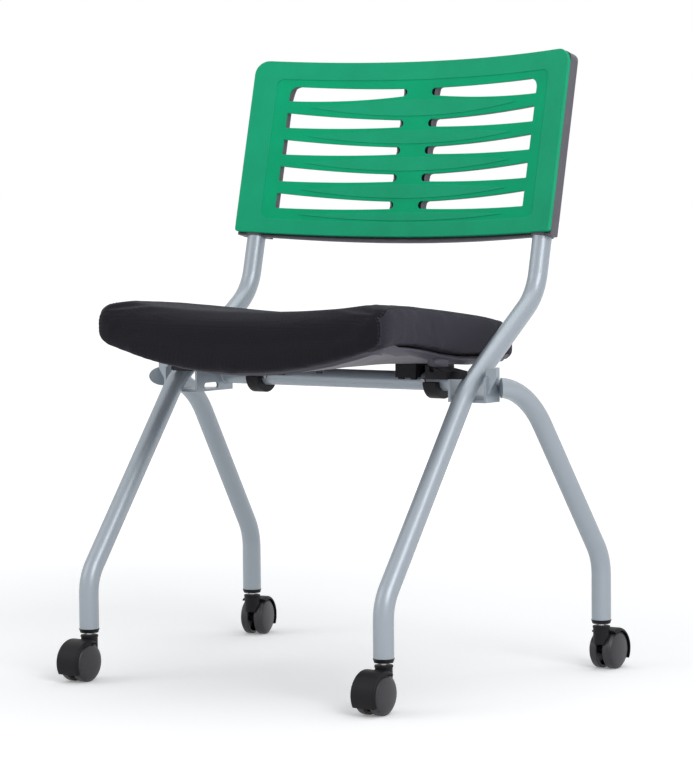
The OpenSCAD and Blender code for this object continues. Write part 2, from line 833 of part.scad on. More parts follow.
module back_shell() {
    front_n = panel_rim + shell_gap;
    column_in = back_w / 2 - column_w;
    inset = shell_inset;
    color(shell_grey)
    in_back()
    difference() {
        union() {
            // Floor of the middle field, and the collars round its slots
            intersection() {
                back_layer(shell_mid_d - shell_wall, shell_mid_d, -shell_bow - over, back_h);
                through_back(0, back_sag + shell_mid_d + over)
                back_outline(inset, shell_bow);
            }
            intersection() {
                back_layer(panel_t + shell_gap, shell_mid_d, -over, back_h);
                through_back(0, back_sag + shell_mid_d + over)
                all_slots(shell_wall);
            }
            // Wall all round, behind the panel's rim
            intersection() {
                back_layer(front_n, shell_mid_d, -shell_bow - over, back_h);
                through_back(0, back_sag + shell_mid_d + over)
                difference() {
                    back_outline(inset, shell_bow);
                    back_outline(inset + shell_wall, shell_bow - shell_wall);
                }
            }
            // Deep columns at both sides, which hold the uprights
            intersection() {
                difference() {
                    back_layer(front_n, shell_d, -shell_bow - over, back_h);
                    back_layer(0, shell_d - shell_wall, -shell_bow - 2 * over, back_h + over);
                }
                through_back(0, back_sag + shell_d + over)
                difference() {
                    back_outline(inset, shell_bow);
                    translate([-column_in, -shell_bow - over])
                    square([2 * column_in, back_h + shell_bow + 2 * over]);
                }
            }
            intersection() {
                back_layer(front_n, shell_d, -shell_bow - over, back_h);
                through_back(0, back_sag + shell_d + over)
                difference() {
                    back_outline(inset, shell_bow);
                    back_outline(inset + shell_wall, shell_bow - shell_wall);
                    translate([-column_in, -shell_bow - over])
                    square([2 * column_in, back_h + shell_bow + 2 * over]);
                }
            }
            for (s = [-1, 1])
                intersection() {
                    back_layer(shell_mid_d - shell_wall, shell_d, -shell_bow - over, back_h);
                    through_back(0, back_sag + shell_d + over)
                    intersection() {
                        back_outline(inset, shell_bow);
                        translate([s * (column_in + shell_wall / 2) - shell_wall / 2, -shell_bow])
                        square([shell_wall, back_h + shell_bow]);
                    }
                }
            for (s = [-1, 1])
                upright_sleeve(s, sleeve_r, 0, upright_v + sleeve_wall);
        }
        // Room for the uprights, the panel in front of them, and the slots
        for (s = [-1, 1])
            upright_sleeve(s, tube_r + seat_gap, -shell_bow - over, upright_v + seat_gap);
        back_layer(-back_sag, panel_t + shell_gap, -shell_bow - over, back_h + over);
        through_back(-over, back_sag + shell_d + over)
        all_slots(0);
    }
}

// Screws that pass through the sleeves into the uprights from behind
back_screw_v = [35, 120];

module back_screws() {
    color(black)
    in_back()
    for (s = [-1, 1])
        for (v = back_screw_v)
            translate([s * side_x, upright_n + tube_r + seat_gap + sleeve_wall, v])
            rotate([-90, 0, 0])
            cylinder(d = screw_head_d, h = screw_head_h);
}

// Seat

// Half width of the seat at a share of its depth
function seat_half(t) =
    t < seat_mid_share
    ? (seat_front_w + (seat_mid_w - seat_front_w) * t / seat_mid_share) / 2
    : (seat_mid_w + (seat_rear_w - seat_mid_w) * (t - seat_mid_share) / (1 - seat_mid_share)) / 2;

// Share of the seat's depth at a given place
function depth_share(y) = min(1, max(0, (y - seat_y0) / seat_d));

// Points of one corner of the plan outline; sx and sy are its signs
corner_steps = 5;
function seat_corner(sx, sy, r, a0) =
    let (y = sy < 0 ? seat_y0 + r : seat_y1 - r)
    let (hw = seat_half(depth_share(y)))
    [for (i = [0:corner_steps])
        let (a = a0 + 90 * i / corner_steps)
        [sx * (hw - r) + r * cos(a), y + r * sin(a)]];

// Points inside a straight stretch of the plan outline
side_steps = 8;
function seat_side(sx) =
    let (ya = seat_y0 + seat_front_r, yb = seat_y1 - seat_rear_r)
    [for (i = [1:side_steps - 1])
        let (t = sx > 0 ? i / side_steps : 1 - i / side_steps)
        let (y = ya + (yb - ya) * t)
        [sx * seat_half(depth_share(y)), y]];
function seat_end(sy) =
    let (y = sy < 0 ? seat_y0 : seat_y1)
    let (r = sy < 0 ? seat_front_r : seat_rear_r)
    let (hw = seat_half(depth_share(y)) - r)
    [for (i = [1:side_steps - 1])
        let (u = 2 * i / side_steps - 1)
        [-sy * hw * u, y + sy * seat_bulge * (1 - u * u)]];

// Plan outline of the seat, anticlockwise from its left front corner
seat_plan = concat(
    seat_corner(-1, -1, seat_front_r, 180),
    seat_end(-1),
    seat_corner(1, -1, seat_front_r, 270),
    seat_side(1),
    seat_corner(1, 1, seat_rear_r, 0),
    seat_end(1),
    seat_corner(-1, 1, seat_rear_r, 90),
    seat_side(-1)
);

// Height of the cushion's top, and of the bowl that it sits in
crest_power = 2.4;
crest_fall_power = 1.5;
edge_power = 2;
function seat_top(x, y) =
    let (t = depth_share(y))
    let (u = min(1, abs(x) / seat_half(t)))
    crest_z - crest_drop * pow(t, crest_fall_power) - seat_dip * (1 - t * t) * (1 - pow(u, crest_power));
function seat_bowl(x, y) =
    let (t = depth_share(y))
    let (u = min(1, abs(x) / seat_half(t)))
    let (side_rise = edge_side_rise * (1 - ease(t, 0.1, 0.7)))
    edge_z + edge_rear_rise * ease(t, 0.1, 0.75) + side_rise * pow(u, edge_power);

// One ring of the seat: the plan outline drawn in by an inset towards its middle
function seat_at(p, inset) =
    let (c = [0, seat_cy])
    let (d = p - c)
    c + d * (1 - inset / norm(d));
function ring_flat(inset) = [for (p = seat_plan) seat_at(p, inset)];
function ring_share(share) = [for (p = seat_plan) [0, seat_cy] + (p - [0, seat_cy]) * share];
function lift_top(ring, down) = [for (p = ring) [p[0], p[1], seat_top(p[0], p[1]) - down]];
function lift_bowl(ring, up) = [for (p = ring) [p[0], p[1], seat_bowl(p[0], p[1]) + up]];

// Whether the next ring of a stack lies further from the middle of the seat
function ring_reach(ring) = norm([ring[0][0], ring[0][1] - seat_cy]);
function widens(rings, j) = ring_reach(rings[j + 1]) > ring_reach(rings[j]);

// Closed solid through a stack of rings, with a point at its lower and its upper middle. Each four-sided
// facet is split from its outer ring's point to its inner ring's next one, so that pieces lie snug
module ring_solid(rings, low, high) {
    n = len(seat_plan);
    m = len(rings);
    points = concat([for (ring = rings) each ring], [low, high]);
    polyhedron(points, concat(
        [for (j = [0:m - 2]) for (i = [0:n - 1])
            let (a = j * n, b = (j + 1) * n, next = (i + 1) % n)
            widens(rings, j) ? [a + i, b + i, a + next] : [a + i, b + i, b + next]],
        [for (j = [0:m - 2]) for (i = [0:n - 1])
            let (a = j * n, b = (j + 1) * n, next = (i + 1) % n)
            widens(rings, j) ? [a + next, b + i, b + next] : [a + i, b + next, a + next]],
        [for (i = [0:n - 1]) [n * m, i, (i + 1) % n]],
        [for (i = [0:n - 1]) [n * m + 1, (m - 1) * n + (i + 1) % n, (m - 1) * n + i]]
    ), convexity = 6);
}

// Rings that roll in under the cushion's lower edge, and over its upper edge
function foot_ring(a) =
    lift_bowl(ring_flat(foot_r * (1 - sin(a))), foot_r * (1 - cos(a)));
// Radius of the upper roll: wide along the front and the back, tight along the side panels
function roll_at(p) =
    let (share = abs(p[1] - seat_cy) / (seat_d / 2))
    side_roll_r + (roll_r - side_roll_r) * ease(share, roll_side_share, roll_end_share);
function roll_ring(a) =
    [for (p = seat_plan)
        let (r = roll_at(p), q = seat_at(p, r * (1 - cos(a))))
        [q[0], q[1], seat_top(q[0], q[1]) - r * (1 - sin(a))]];

// Ring at the waist of the cushion's side
function waist_ring() =
    let (low = foot_ring(90), high = roll_ring(0), drawn = ring_flat(draw_in))
    [for (i = [0:len(seat_plan) - 1])
        [drawn[i][0], drawn[i][1], (low[i][2] + high[i][2]) / 2]];

// Shares of half the seat's depth at which the roll starts to widen and is at its widest
roll_side_share = 0.72;
roll_end_share = 0.95;
// Shares of the outline's reach at which the inner rings of the cushion's top lie
high_shares = [0.7, 0.5, 0.25];

module cushion() {
    rings = concat(
        [lift_bowl(ring_share(core_share), 0)],
        [lift_bowl(ring_flat(board_inset), 0)],
        [lift_bowl(ring_flat(board_inset - board_room), 0)],
        [for (a = [0, 45, 90]) foot_ring(a)],
        [waist_ring()],
        [for (a = [0, 30, 60, 90]) roll_ring(a)],
        [for (share = high_shares) lift_top(ring_share(share), 0)]
    );
    color(fabric)
    ring_solid(
        rings,
        [0, seat_cy, seat_bowl(0, seat_cy)],
        [0, seat_cy, seat_top(0, seat_cy)]
    );
}

// Moulded board that the cushion is stapled to, let into the pan
core_share = 0.45;

module seat_board() {
    rings = [
        lift_bowl(ring_share(core_share), -board_drop - board_t),
        lift_bowl(ring_flat(board_inset), -board_drop - board_t),
        lift_bowl(ring_flat(board_inset), -board_drop),
        lift_bowl(ring_share(core_share), -board_drop)
    ];
    color("burlywood")
    difference() {
        ring_solid(
            rings,
            [0, seat_cy, seat_bowl(0, seat_cy) - board_drop - board_t],
            [0, seat_cy, seat_bowl(0, seat_cy) - board_drop]
        );
        for (s = [-1, 1])
            for (y = pan_screw_y)
                translate([s * pan_screw_x, y, seat_bowl(pan_screw_x, y) - pan_floor - over])
                cylinder(r = screw_d / 2 + seat_gap, h = board_rest + board_t / 2 + over);
    }
}

// How far the pan's skirt reaches below the cushion's edge at a place
function skirt(y) =
    pan_skirt_front + (pan_skirt_side - pan_skirt_front) * ease(depth_share(y), 0, pan_skirt_share);
function lift_skirt(ring) =
    [for (p = ring) [p[0], p[1], seat_bowl(p[0], p[1]) - skirt(p[1])]];

// Height of the pan's inner floor, just below the board
pan_floor = board_drop + board_t + board_rest;

// How far the pan's inner and outer walls lean
wall_lean = 1;

module pan_shell() {
    under = pan_floor + pan_t;
    rings = [
        lift_bowl(ring_share(core_share), -under),
        lift_bowl(ring_flat(skirt_in + skirt_slope), -under),
        lift_skirt(ring_flat(skirt_in)),
        lift_skirt(ring_flat(skirt_in - skirt_w)),
        lift_bowl(ring_flat(rim_in + wall_lean), -soft_clear - rim_h),
        lift_bowl(ring_flat(rim_in), -soft_clear),
        lift_bowl(ring_flat(foot_r), -soft_clear),
        lift_bowl(ring_flat(board_inset - board_room), -soft_clear),
        lift_bowl(ring_flat(board_inset - board_room + wall_lean), -pan_floor),
        lift_bowl(ring_share(core_share), -pan_floor)
    ];
    ring_solid(
        rings,
        [0, seat_cy, seat_bowl(0, seat_cy) - under],
        [0, seat_cy, seat_bowl(0, seat_cy) - pan_floor]
    );
}

// Flat boss below the pan's floor, from its seat up into the floor
module pan_boss(x, y, r) {
    z = seat_bowl(x, y);
    translate([x, y, z - pan_floor - pan_t - boss_h])
    cylinder(r = r, h = boss_h + pan_t / 2);
}

// Seat of a boss below the pan's floor
function boss_seat(x, y) = seat_bowl(x, y) - pan_floor - pan_t - boss_h;

module seat_pan() {
    color(pan_grey)
    difference() {
        union() {
            pan_shell();
            for (s = [-1, 1]) {
                // Flat bosses for the hinge blocks
                translate([s * (hinge_x + block_w / 2) - block_w / 2, pivot_y - block_d / 2, boss_z])
                cube([block_w, block_d, boss_t]);
                // Flat bosses above the rest pads
                translate([s * (pad_boss_x + pad_boss_w / 2) - pad_boss_w / 2, pad_y, pad_top_z])
                cube([pad_boss_w, pad_d, pad_boss_t]);
                pan_boss(s * bumper_x, bumper_y, bumper_d / 2);
                for (y = pan_screw_y)
                    pan_boss(s * pan_screw_x, y, screw_head_d / 2 + boss_h);
            }
        }
        for (s = [-1, 1]) {
            for (share = hinge_screw_share)
                translate([s * (hinge_x + saddle_w * share), hinge_screw_y, boss_z - over])
                cylinder(r = screw_d / 2 + seat_gap, h = hinge_screw_in + over);
            for (y = pan_screw_y)
                translate([s * pan_screw_x, y, boss_seat(pan_screw_x, y) - over])
                cylinder(r = screw_d / 2 + seat_gap, h = boss_h + pan_t + 2 * over);
        }
    }
}

// Hinge block: a saddle over the cross tube and a hook that closes under it
module hinge_block(s) {
    hook_r = pivot_r + hook_wall;
    saddle_h = boss_z - pivot_z;
    color(black)
    mirror([s < 0 ? 1 : 0, 0, 0])
    translate([hinge_x, pivot_y, pivot_z])
    difference() {
        union() {
            // Saddle, down to the upper front of the tube
            translate([0, -block_d / 2, lip_drop])
            cube([saddle_w, block_d, saddle_h - lip_drop]);
            // Back of the block, behind the tube over its whole width
            translate([0, 0, lip_drop])
            cube([block_w, block_d / 2, saddle_h - lip_drop]);
            translate([0, pivot_r / 2, -pivot_r])
            cube([block_w, block_d / 2 - pivot_r / 2, pivot_r + lip_drop]);
            // Hook, half round below the tube
            translate([saddle_w + hook_gap, 0, 0])
            rotate([0, 90, 0])
            difference() {
                cylinder(r = hook_r, h = hook_w);
                translate([-hook_r - over, -hook_r - over, -over])
                cube([hook_r + over, 2 * (hook_r + over), hook_w + 2 * over]);
            }
        }
        translate([-over, 0, 0])
        rotate([0, 90, 0])
        cylinder(r = pivot_r + pivot_clear, h = block_w + 2 * over);
        for (share = hinge_screw_share)
            translate([saddle_w * share, hinge_screw_y - pivot_y, 0])
            cylinder(r = screw_d / 2 + seat_gap, h = saddle_h + over);
    }
}

// Screw that stands upright with its head at the bottom
module screw_up(shank) {
    translate([0, 0, -screw_head_h])
    cylinder(d = screw_head_d, h = screw_head_h);
    cylinder(d = screw_d, h = shank);
}

// Screws that hold each hinge block to the pan, driven in from below
module hinge_screws() {
    color(steel)
    for (s = [-1, 1])
        for (share = hinge_screw_share)
            translate([s * (hinge_x + saddle_w * share), hinge_screw_y, pivot_z + lip_drop])
            screw_up(boss_z - pivot_z - lip_drop + hinge_screw_in - seat_gap);
}

// Rest pad: stands on the knee of the side tube when the seat is down
module rest_pad(s) {
    color(black)
    difference() {
        mirror([s < 0 ? 1 : 0, 0, 0])
        difference() {
            union() {
                translate([pad_in_x, pad_y, pad_bottom_z])
                cube([pad_joint_x - pad_in_x, pad_d, pad_top_z - pad_bottom_z]);
                translate([pad_in_x, pad_y + pad_d - pad_lip_d, pad_bottom_z])
                cube([pad_w, pad_lip_d, pad_top_z - pad_bottom_z]);
            }
            translate([pad_slot_x, pad_y - over, pad_bottom_z + (pad_top_z - pad_bottom_z - pad_slot_h) / 2])
            cube([pad_slot_w, pad_slot_d + over, pad_slot_h]);
        }
        bent_rod(side_path(s), side_bends, tube_od + 2 * pad_contact);
    }
}

// Rubber bumpers under the rear corners of the pan
module rear_bumpers() {
    color(black)
    for (s = [-1, 1])
        translate([s * bumper_x, bumper_y, boss_seat(bumper_x, bumper_y) - bumper_h])
        cylinder(d = bumper_d, h = bumper_h);
}

// Screws that hold the pan to the board
module pan_screws() {
    color(steel)
    for (s = [-1, 1])
        for (y = pan_screw_y)
            translate([s * pan_screw_x, y, boss_seat(pan_screw_x, y)])
            screw_up(boss_h + pan_t + board_rest + board_t / 2 - seat_gap);
}

// Casters

// Places its children at a leg's foot, turned to the caster's heading
module at_foot(sx, rear) {
    x = rear ? sx * rear_foot_w / 2 : sx * side_x;
    heading = rear ? (sx < 0 ? 180 + rear_left_turn : 180) : 0;
    translate([x, rear ? rear_y : front_y, 0])
    rotate([0, 0, heading])
    children();
}

module ferrule(sx, rear) {
    color(black)
    at_foot(sx, rear)
    difference() {
        union() {
            translate([0, 0, lip_z])
            cylinder(r1 = tube_r - lip_in, r2 = tube_r + lip_out, h = lip_h);
            translate([0, 0, leg_end_z])
            cylinder(r = tube_r - tube_wall - seat_gap, h = ferrule_h);
        }
        translate([0, 0, lip_z - over])
        cylinder(r = stem_r + caster_clear, h = lip_h + ferrule_h + 2 * over);
    }
}

module stem(sx, rear) {
    color(steel)
    at_foot(sx, rear)
    translate([0, 0, stem_base_z])
    cylinder(r = stem_r, h = stem_top_z - stem_base_z);
}

// Places its children on the wheel axle, with z along it
module on_axle() {
    translate([0, -caster_trail, wheel_r])
    rotate([0, 90, 0])
    children();
}

// Curved cover over both wheels, the web between them and the neck
module hood(sx, rear) {
    half = caster_w / 2 - hood_side_in;
    color(black)
    at_foot(sx, rear)
    difference() {
        union() {
            on_axle()
            translate([0, 0, -half])
            rotate([0, 0, 90 + hood_stem_angle])
            rotate_extrude(angle = hood_front_angle - hood_stem_angle)
            translate([hood_in_r, 0])
            square([hood_t, 2 * half]);
            // Web between the wheels
            on_axle()
            translate([0, 0, -web_t / 2])
            cylinder(r = axle_boss_r, h = web_t);
            on_axle()
            translate([0, 0, -web_t / 2])
            rotate([0, 0, 90 + hood_stem_angle])
            rotate_extrude(angle = hood_front_angle - hood_stem_angle)
            square([hood_in_r + hood_t / 2, web_t]);
            // Neck round the stem
            difference() {
                translate([0, 0, stem_base_z - neck_root])
                cylinder(r = neck_r, h = neck_z - stem_base_z + neck_root);
                for (s = [-1, 1])
                    on_axle()
                    translate([0, 0, s > 0 ? web_t / 2 : -web_t / 2 - caster_w])
                    cylinder(r = hood_in_r, h = caster_w);
            }
        }
        on_axle()
        translate([0, 0, -caster_w])
        cylinder(r = axle_r + caster_clear, h = 2 * caster_w);
        translate([0, 0, stem_base_z - caster_clear])
        cylinder(r = stem_r + caster_clear, h = neck_z);
    }
}

module axle(sx, rear) {
    half = caster_w / 2 - axle_end_wall;
    color(steel)
    at_foot(sx, rear)
    on_axle()
    translate([0, 0, -half])
    cylinder(r = axle_r, h = 2 * half);
}

// Section of one wheel: tread, domed face, hub and the pocket on its inner side
module wheel_section() {
    w = (caster_w - wheel_gap) / 2;
    face = w - dome_h;
    rim_r = wheel_r - rim_chamfer;
    steps = 8;
    difference() {
        polygon(concat(
            [[0, 0], [rim_r, 0], [wheel_r, rim_chamfer], [wheel_r, face]],
            [for (i = [0:steps])
                let (a = 90 * i / steps)
                [rim_r * cos(a), face + rim_chamfer / 2 + (dome_h - rim_chamfer / 2) * sin(a)]]
        ));
        translate([hub_r, -over])
        square([wheel_r - rim_t - hub_r, pocket_d + over]);
        translate([0, -over])
        square([axle_r + caster_clear, w - axle_end_wall + caster_clear + over]);
    }
}

module wheel(sx, rear, side) {
    color(black)
    at_foot(sx, rear)
    translate([0, -caster_trail, wheel_r])
    rotate([0, side * 90, 0])
    translate([0, 0, wheel_gap / 2])
    rotate_extrude($fn = 96)
    wheel_section();
}

side_tube(-1);  // side_tube_left
side_tube(1);  // side_tube_right
rear_leg(-1);  // rear_leg_left
rear_leg(1);  // rear_leg_right
gusset(-1);  // gusset_left
gusset(1);  // gusset_right
cross_tube();
hinge_stops();
back_panel();
back_shell();
back_screws();
cushion();
seat_board();
seat_pan();
pan_screws();
hinge_block(-1);  // hinge_block_left
hinge_block(1);  // hinge_block_right
hinge_screws();
rest_pad(-1);  // rest_pad_left
rest_pad(1);  // rest_pad_right
rear_bumpers();
ferrule(-1, false);  // ferrule_front_left
ferrule(1, false);  // ferrule_front_right
ferrule(-1, true);  // ferrule_rear_left
ferrule(1, true);  // ferrule_rear_right
stem(-1, false);  // stem_front_left
stem(1, false);  // stem_front_right
stem(-1, true);  // stem_rear_left
stem(1, true);  // stem_rear_right
hood(-1, false);  // hood_front_left
hood(1, false);  // hood_front_right
hood(-1, true);  // hood_rear_left
hood(1, true);  // hood_rear_right
axle(-1, false);  // axle_front_left
axle(1, false);  // axle_front_right
axle(-1, true);  // axle_rear_left
axle(1, true);  // axle_rear_right
wheel(-1, false, 1);  // wheel_front_left_in
wheel(1, false, -1);  // wheel_front_right_in
wheel(-1, true, -1);  // wheel_rear_left_in
wheel(1, true, 1);  // wheel_rear_right_in
wheel(-1, false, -1);  // wheel_front_left_out
wheel(1, false, 1);  // wheel_front_right_out
wheel(-1, true, 1);  // wheel_rear_left_out
wheel(1, true, -1);  // wheel_rear_right_out
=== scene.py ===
"""Nesting office chair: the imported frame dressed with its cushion, backrest, tubes and casters."""
import logging
import math
from dataclasses import dataclass, field
from enum import Enum

import bmesh
import bpy
from bmesh.types import BMEdge, BMesh, BMVert
from bpy.types import Material, Node, NodeSocket, NodeTree, Object
from mathutils import Matrix, Vector
from mathutils.bvhtree import BVHTree
from mathutils.geometry import intersect_point_line


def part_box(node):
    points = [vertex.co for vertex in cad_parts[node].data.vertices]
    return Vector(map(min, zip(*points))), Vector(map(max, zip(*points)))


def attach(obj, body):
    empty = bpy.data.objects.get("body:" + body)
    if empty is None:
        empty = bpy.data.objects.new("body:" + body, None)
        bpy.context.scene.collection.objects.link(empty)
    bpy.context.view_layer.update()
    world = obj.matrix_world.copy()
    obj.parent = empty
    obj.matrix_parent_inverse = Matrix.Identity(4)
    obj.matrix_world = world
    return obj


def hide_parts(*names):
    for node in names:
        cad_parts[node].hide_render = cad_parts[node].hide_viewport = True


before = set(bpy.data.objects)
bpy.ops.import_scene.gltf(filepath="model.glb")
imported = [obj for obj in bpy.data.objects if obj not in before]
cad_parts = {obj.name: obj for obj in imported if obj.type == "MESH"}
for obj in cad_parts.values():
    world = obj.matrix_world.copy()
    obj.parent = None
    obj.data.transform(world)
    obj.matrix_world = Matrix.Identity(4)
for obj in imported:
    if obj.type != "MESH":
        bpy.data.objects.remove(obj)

log = logging.getLogger("chair")

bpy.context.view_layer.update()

# Sizes in metres and angles in radians that several pieces share
FRONT_X = 0.231
REAR_X = 0.286
HALF_BASE = 0.209
RECLINE = math.radians(13.2)
BROKEN_EDGE = 0.0006
CRISP_FROM = math.radians(35)
BROKEN_FROM = math.radians(40)
WELDED_WITHIN = 0.00002
JOINED_WITHIN = 1e-6

# Noise values at which a colour is at its darkest and its lightest
RAMP_ENDS = (0.3, 0.7)


class Side(Enum):
    """Left and right, with the sign of x on that side."""

    LEFT = -1
    RIGHT = 1


class Foot(Enum):
    """The four feet: sign of x, whether it is a rear foot, and the caster's turn in degrees."""

    FRONT_LEFT = (-1, False, 0.0)
    FRONT_RIGHT = (1, False, 0.0)
    REAR_LEFT = (-1, True, 193.0)
    REAR_RIGHT = (1, True, 180.0)

    @property
    def key(self) -> str:
        """Name of the foot as the frame's nodes write it."""
        return self.name.lower()


# Finishes


class Graph:
    """A material under construction: its node tree, its Principled shader and short ways to add to it."""

    def __init__(self, name: str) -> None:
        """Starts a named material with a Principled shader and Object coordinates."""
        self.material = bpy.data.materials.new(name)
        self.material.use_nodes = True
        self.tree = self.material.node_tree
        self.shader = self.tree.nodes["Principled BSDF"]
        self.place = self.add("ShaderNodeTexCoord").outputs["Object"]

    def put(self, socket: NodeSocket, value: object) -> None:
        """Links a socket to another one, or gives it a constant.

        Args:
            socket: The input socket.
            value: An output socket or a constant.
        """
        if isinstance(value, NodeSocket):
            self.tree.links.new(value, socket)
        else:
            socket.default_value = value

    def add(self, kind: str, **inputs: object) -> Node:
        """Adds a node and sets or links its inputs.

        Args:
            kind: Blender's name of the node type.
            inputs: Input names, with underscores for spaces, and a value or a socket for each.

        Returns:
            The new node.
        """
        node = self.tree.nodes.new(kind)
        for name, value in inputs.items():
            self.put(node.inputs[name.replace("_", " ")], value)
        return node

    def noise(self, scale: float, detail: float = 2.0) -> NodeSocket:
        """Noise over the object, by its cycles per metre and its number of finer layers."""
        return self.add("ShaderNodeTexNoise", Vector=self.place, Scale=scale, Detail=detail).outputs["Fac"]

    def maths(self, operation: str, a: object, b: object) -> NodeSocket:
        """One sum on two values or sockets.

        Args:
            operation: Blender's name of the operation.
            a: First value or socket.
            b: Second value or socket.

        Returns:
            The result's socket.
        """
        node = self.tree.nodes.new("ShaderNodeMath")
        node.operation = operation
        self.put(node.inputs[0], a)
        self.put(node.inputs[1], b)
        return node.outputs[0]

    def spread(self, value: NodeSocket, low: float, high: float) -> NodeSocket:
        """Maps a value of 0 to 1 onto the range from low to high."""
        return self.add("ShaderNodeMapRange", Value=value, To_Min=low, To_Max=high).outputs["Result"]

    def tint(self, value: NodeSocket, dark: tuple, light: tuple) -> None:
        """Colours the shader between two colours by a value of 0 to 1.

        Args:
            value: Socket with the value.
            dark: Colour at 0.
            light: Colour at 1.
        """
        ramp = self.add("ShaderNodeValToRGB", Fac=value)
        for element, colour, position in zip(ramp.color_ramp.elements, (dark, light), RAMP_ENDS):
            element.color = (*colour, 1)
            element.position = position
        self.put(self.shader.inputs["Base Color"], ramp.outputs["Color"])

    def rough(self, value: NodeSocket) -> None:
        """Links a value to the shader's roughness."""
        self.put(self.shader.inputs["Roughness"], value)

    def bump(self, height: NodeSocket, depth: float) -> None:
        """Adds a bump of a given depth, on top of any that is there.

        Args:
            height: Socket with heights of 0 to 1.
            depth: Depth of the relief in metres.
        """
        node = self.add("ShaderNodeBump", Height=height, Distance=depth, Strength=1.0)
        normal = self.shader.inputs["Normal"]
        if normal.links:
            self.put(node.inputs["Normal"], normal.links[0].from_socket)
        self.put(normal, node.outputs["Normal"])

    def plain(self, **values: float) -> None:
        """Sets shader sockets that are the same all over the surface."""
        for name, value in values.items():
            self.shader.inputs[name.replace("_", " ")].default_value = value


def darker(colour: tuple, share: float) -> tuple:
    """A colour with each channel multiplied by a share."""
    return tuple(channel * share for channel in colour)


@dataclass(frozen=True)
class Finish:
    """A surface whose colour, roughness and relief follow noises of a scale and a number of layers."""

    name: str
    colour: tuple
    rough: tuple = (0.6, 0.78)
    shades: tuple = (1.0, 1.5)
    tint_noise: tuple = (120.0, 4.0)
    rough_noise: tuple = (300.0, 2.0)
    grain: tuple = (3000.0, 2.0)
    grain_depth: float = 0.00003
    metallic: float = 0.0
    gloss: float = 0.5
    coat: float = 0.0
    coat_rough: float = 0.2
    sheen: float = 0.0

    def make(self) -> Material:
        """Builds the material."""
        graph = Graph(self.name)
        graph.plain(Metallic=self.metallic, Specular_IOR_Level=self.gloss, Coat_Weight=self.coat,
                    Coat_Roughness=self.coat_rough, Sheen_Weight=self.sheen)
        graph.tint(graph.noise(*self.tint_noise), *(darker(self.colour, share) for share in self.shades))
        graph.rough(graph.spread(graph.noise(*self.rough_noise), *self.rough))
        graph.bump(graph.noise(*self.grain), self.grain_depth)
        return graph.material


@dataclass(frozen=True)
class PowderCoat(Finish):
    """Silver powder coat on steel: metal flake under a satin film with a slight orange peel."""

    name: str = "silver_paint"
    colour: tuple = (0.36, 0.405, 0.45)
    rough: tuple = (0.32, 0.42)
    shades: tuple = (0.82, 1.16)
    tint_noise: tuple = (5200.0, 1.0)
    rough_noise: tuple = (90.0, 3.0)
    grain: tuple = (700.0, 2.0)
    grain_depth: float = 0.000035
    metallic: float = 0.35
    coat: float = 0.15


@dataclass(frozen=True)
class PlatedSteel(Finish):
    """Zinc-plated steel with fine turning marks."""

    name: str = "bright_steel"
    colour: tuple = (0.66, 0.67, 0.68)
    rough: tuple = (0.18, 0.34)
    shades: tuple = (0.85, 1.0)
    tint_noise: tuple = (400.0, 2.0)
    rough_noise: tuple = (900.0, 3.0)
    grain: tuple = (2600.0, 2.0)
    grain_depth: float = 0.00001
    metallic: float = 1.0


@dataclass(frozen=True)
class MouldedPlastic(Finish):
    """Injection-moulded plastic with a spark-eroded grain and a slight unevenness of colour."""

    rough: tuple = (0.42, 0.54)
    shades: tuple = (0.94, 1.05)
    tint_noise: tuple = (22.0, 4.0)
    rough_noise: tuple = (60.0, 3.0)
    grain: tuple = (2400.0, 1.0)
    grain_depth: float = 0.00004
    gloss: float = 0.3


@dataclass(frozen=True)
class WheelPlastic(Finish):
    """Smooth black nylon of the casters, scuffed a little where it rolls."""

    name: str = "wheel_plastic"
    colour: tuple = (0.017, 0.0165, 0.021)
    rough: tuple = (0.28, 0.46)
    tint_noise: tuple = (260.0, 5.0)
    rough_noise: tuple = (260.0, 5.0)
    grain: tuple = (1500.0, 2.0)
    grain_depth: float = 0.00002


@dataclass(frozen=True)
class BlackRubber(Finish):
    """Matt black rubber."""

    name: str = "black_rubber"
    colour: tuple = (0.018, 0.018, 0.019)


@dataclass(frozen=True)
class SewingThread(Finish):
    """Twisted black polyester thread, a little glossier than the cloth."""

    name: str = "seat_thread"
    colour: tuple = (0.017, 0.0165, 0.023)
    rough: tuple = (0.42, 0.6)
    shades: tuple = (0.7, 1.4)
    tint_noise: tuple = (2200.0, 2.0)
    rough_noise: tuple = (800.0, 2.0)
    grain: tuple = (4200.0, 2.0)
    grain_depth: float = 0.00005
    gloss: float = 0.2
    sheen: float = 0.1


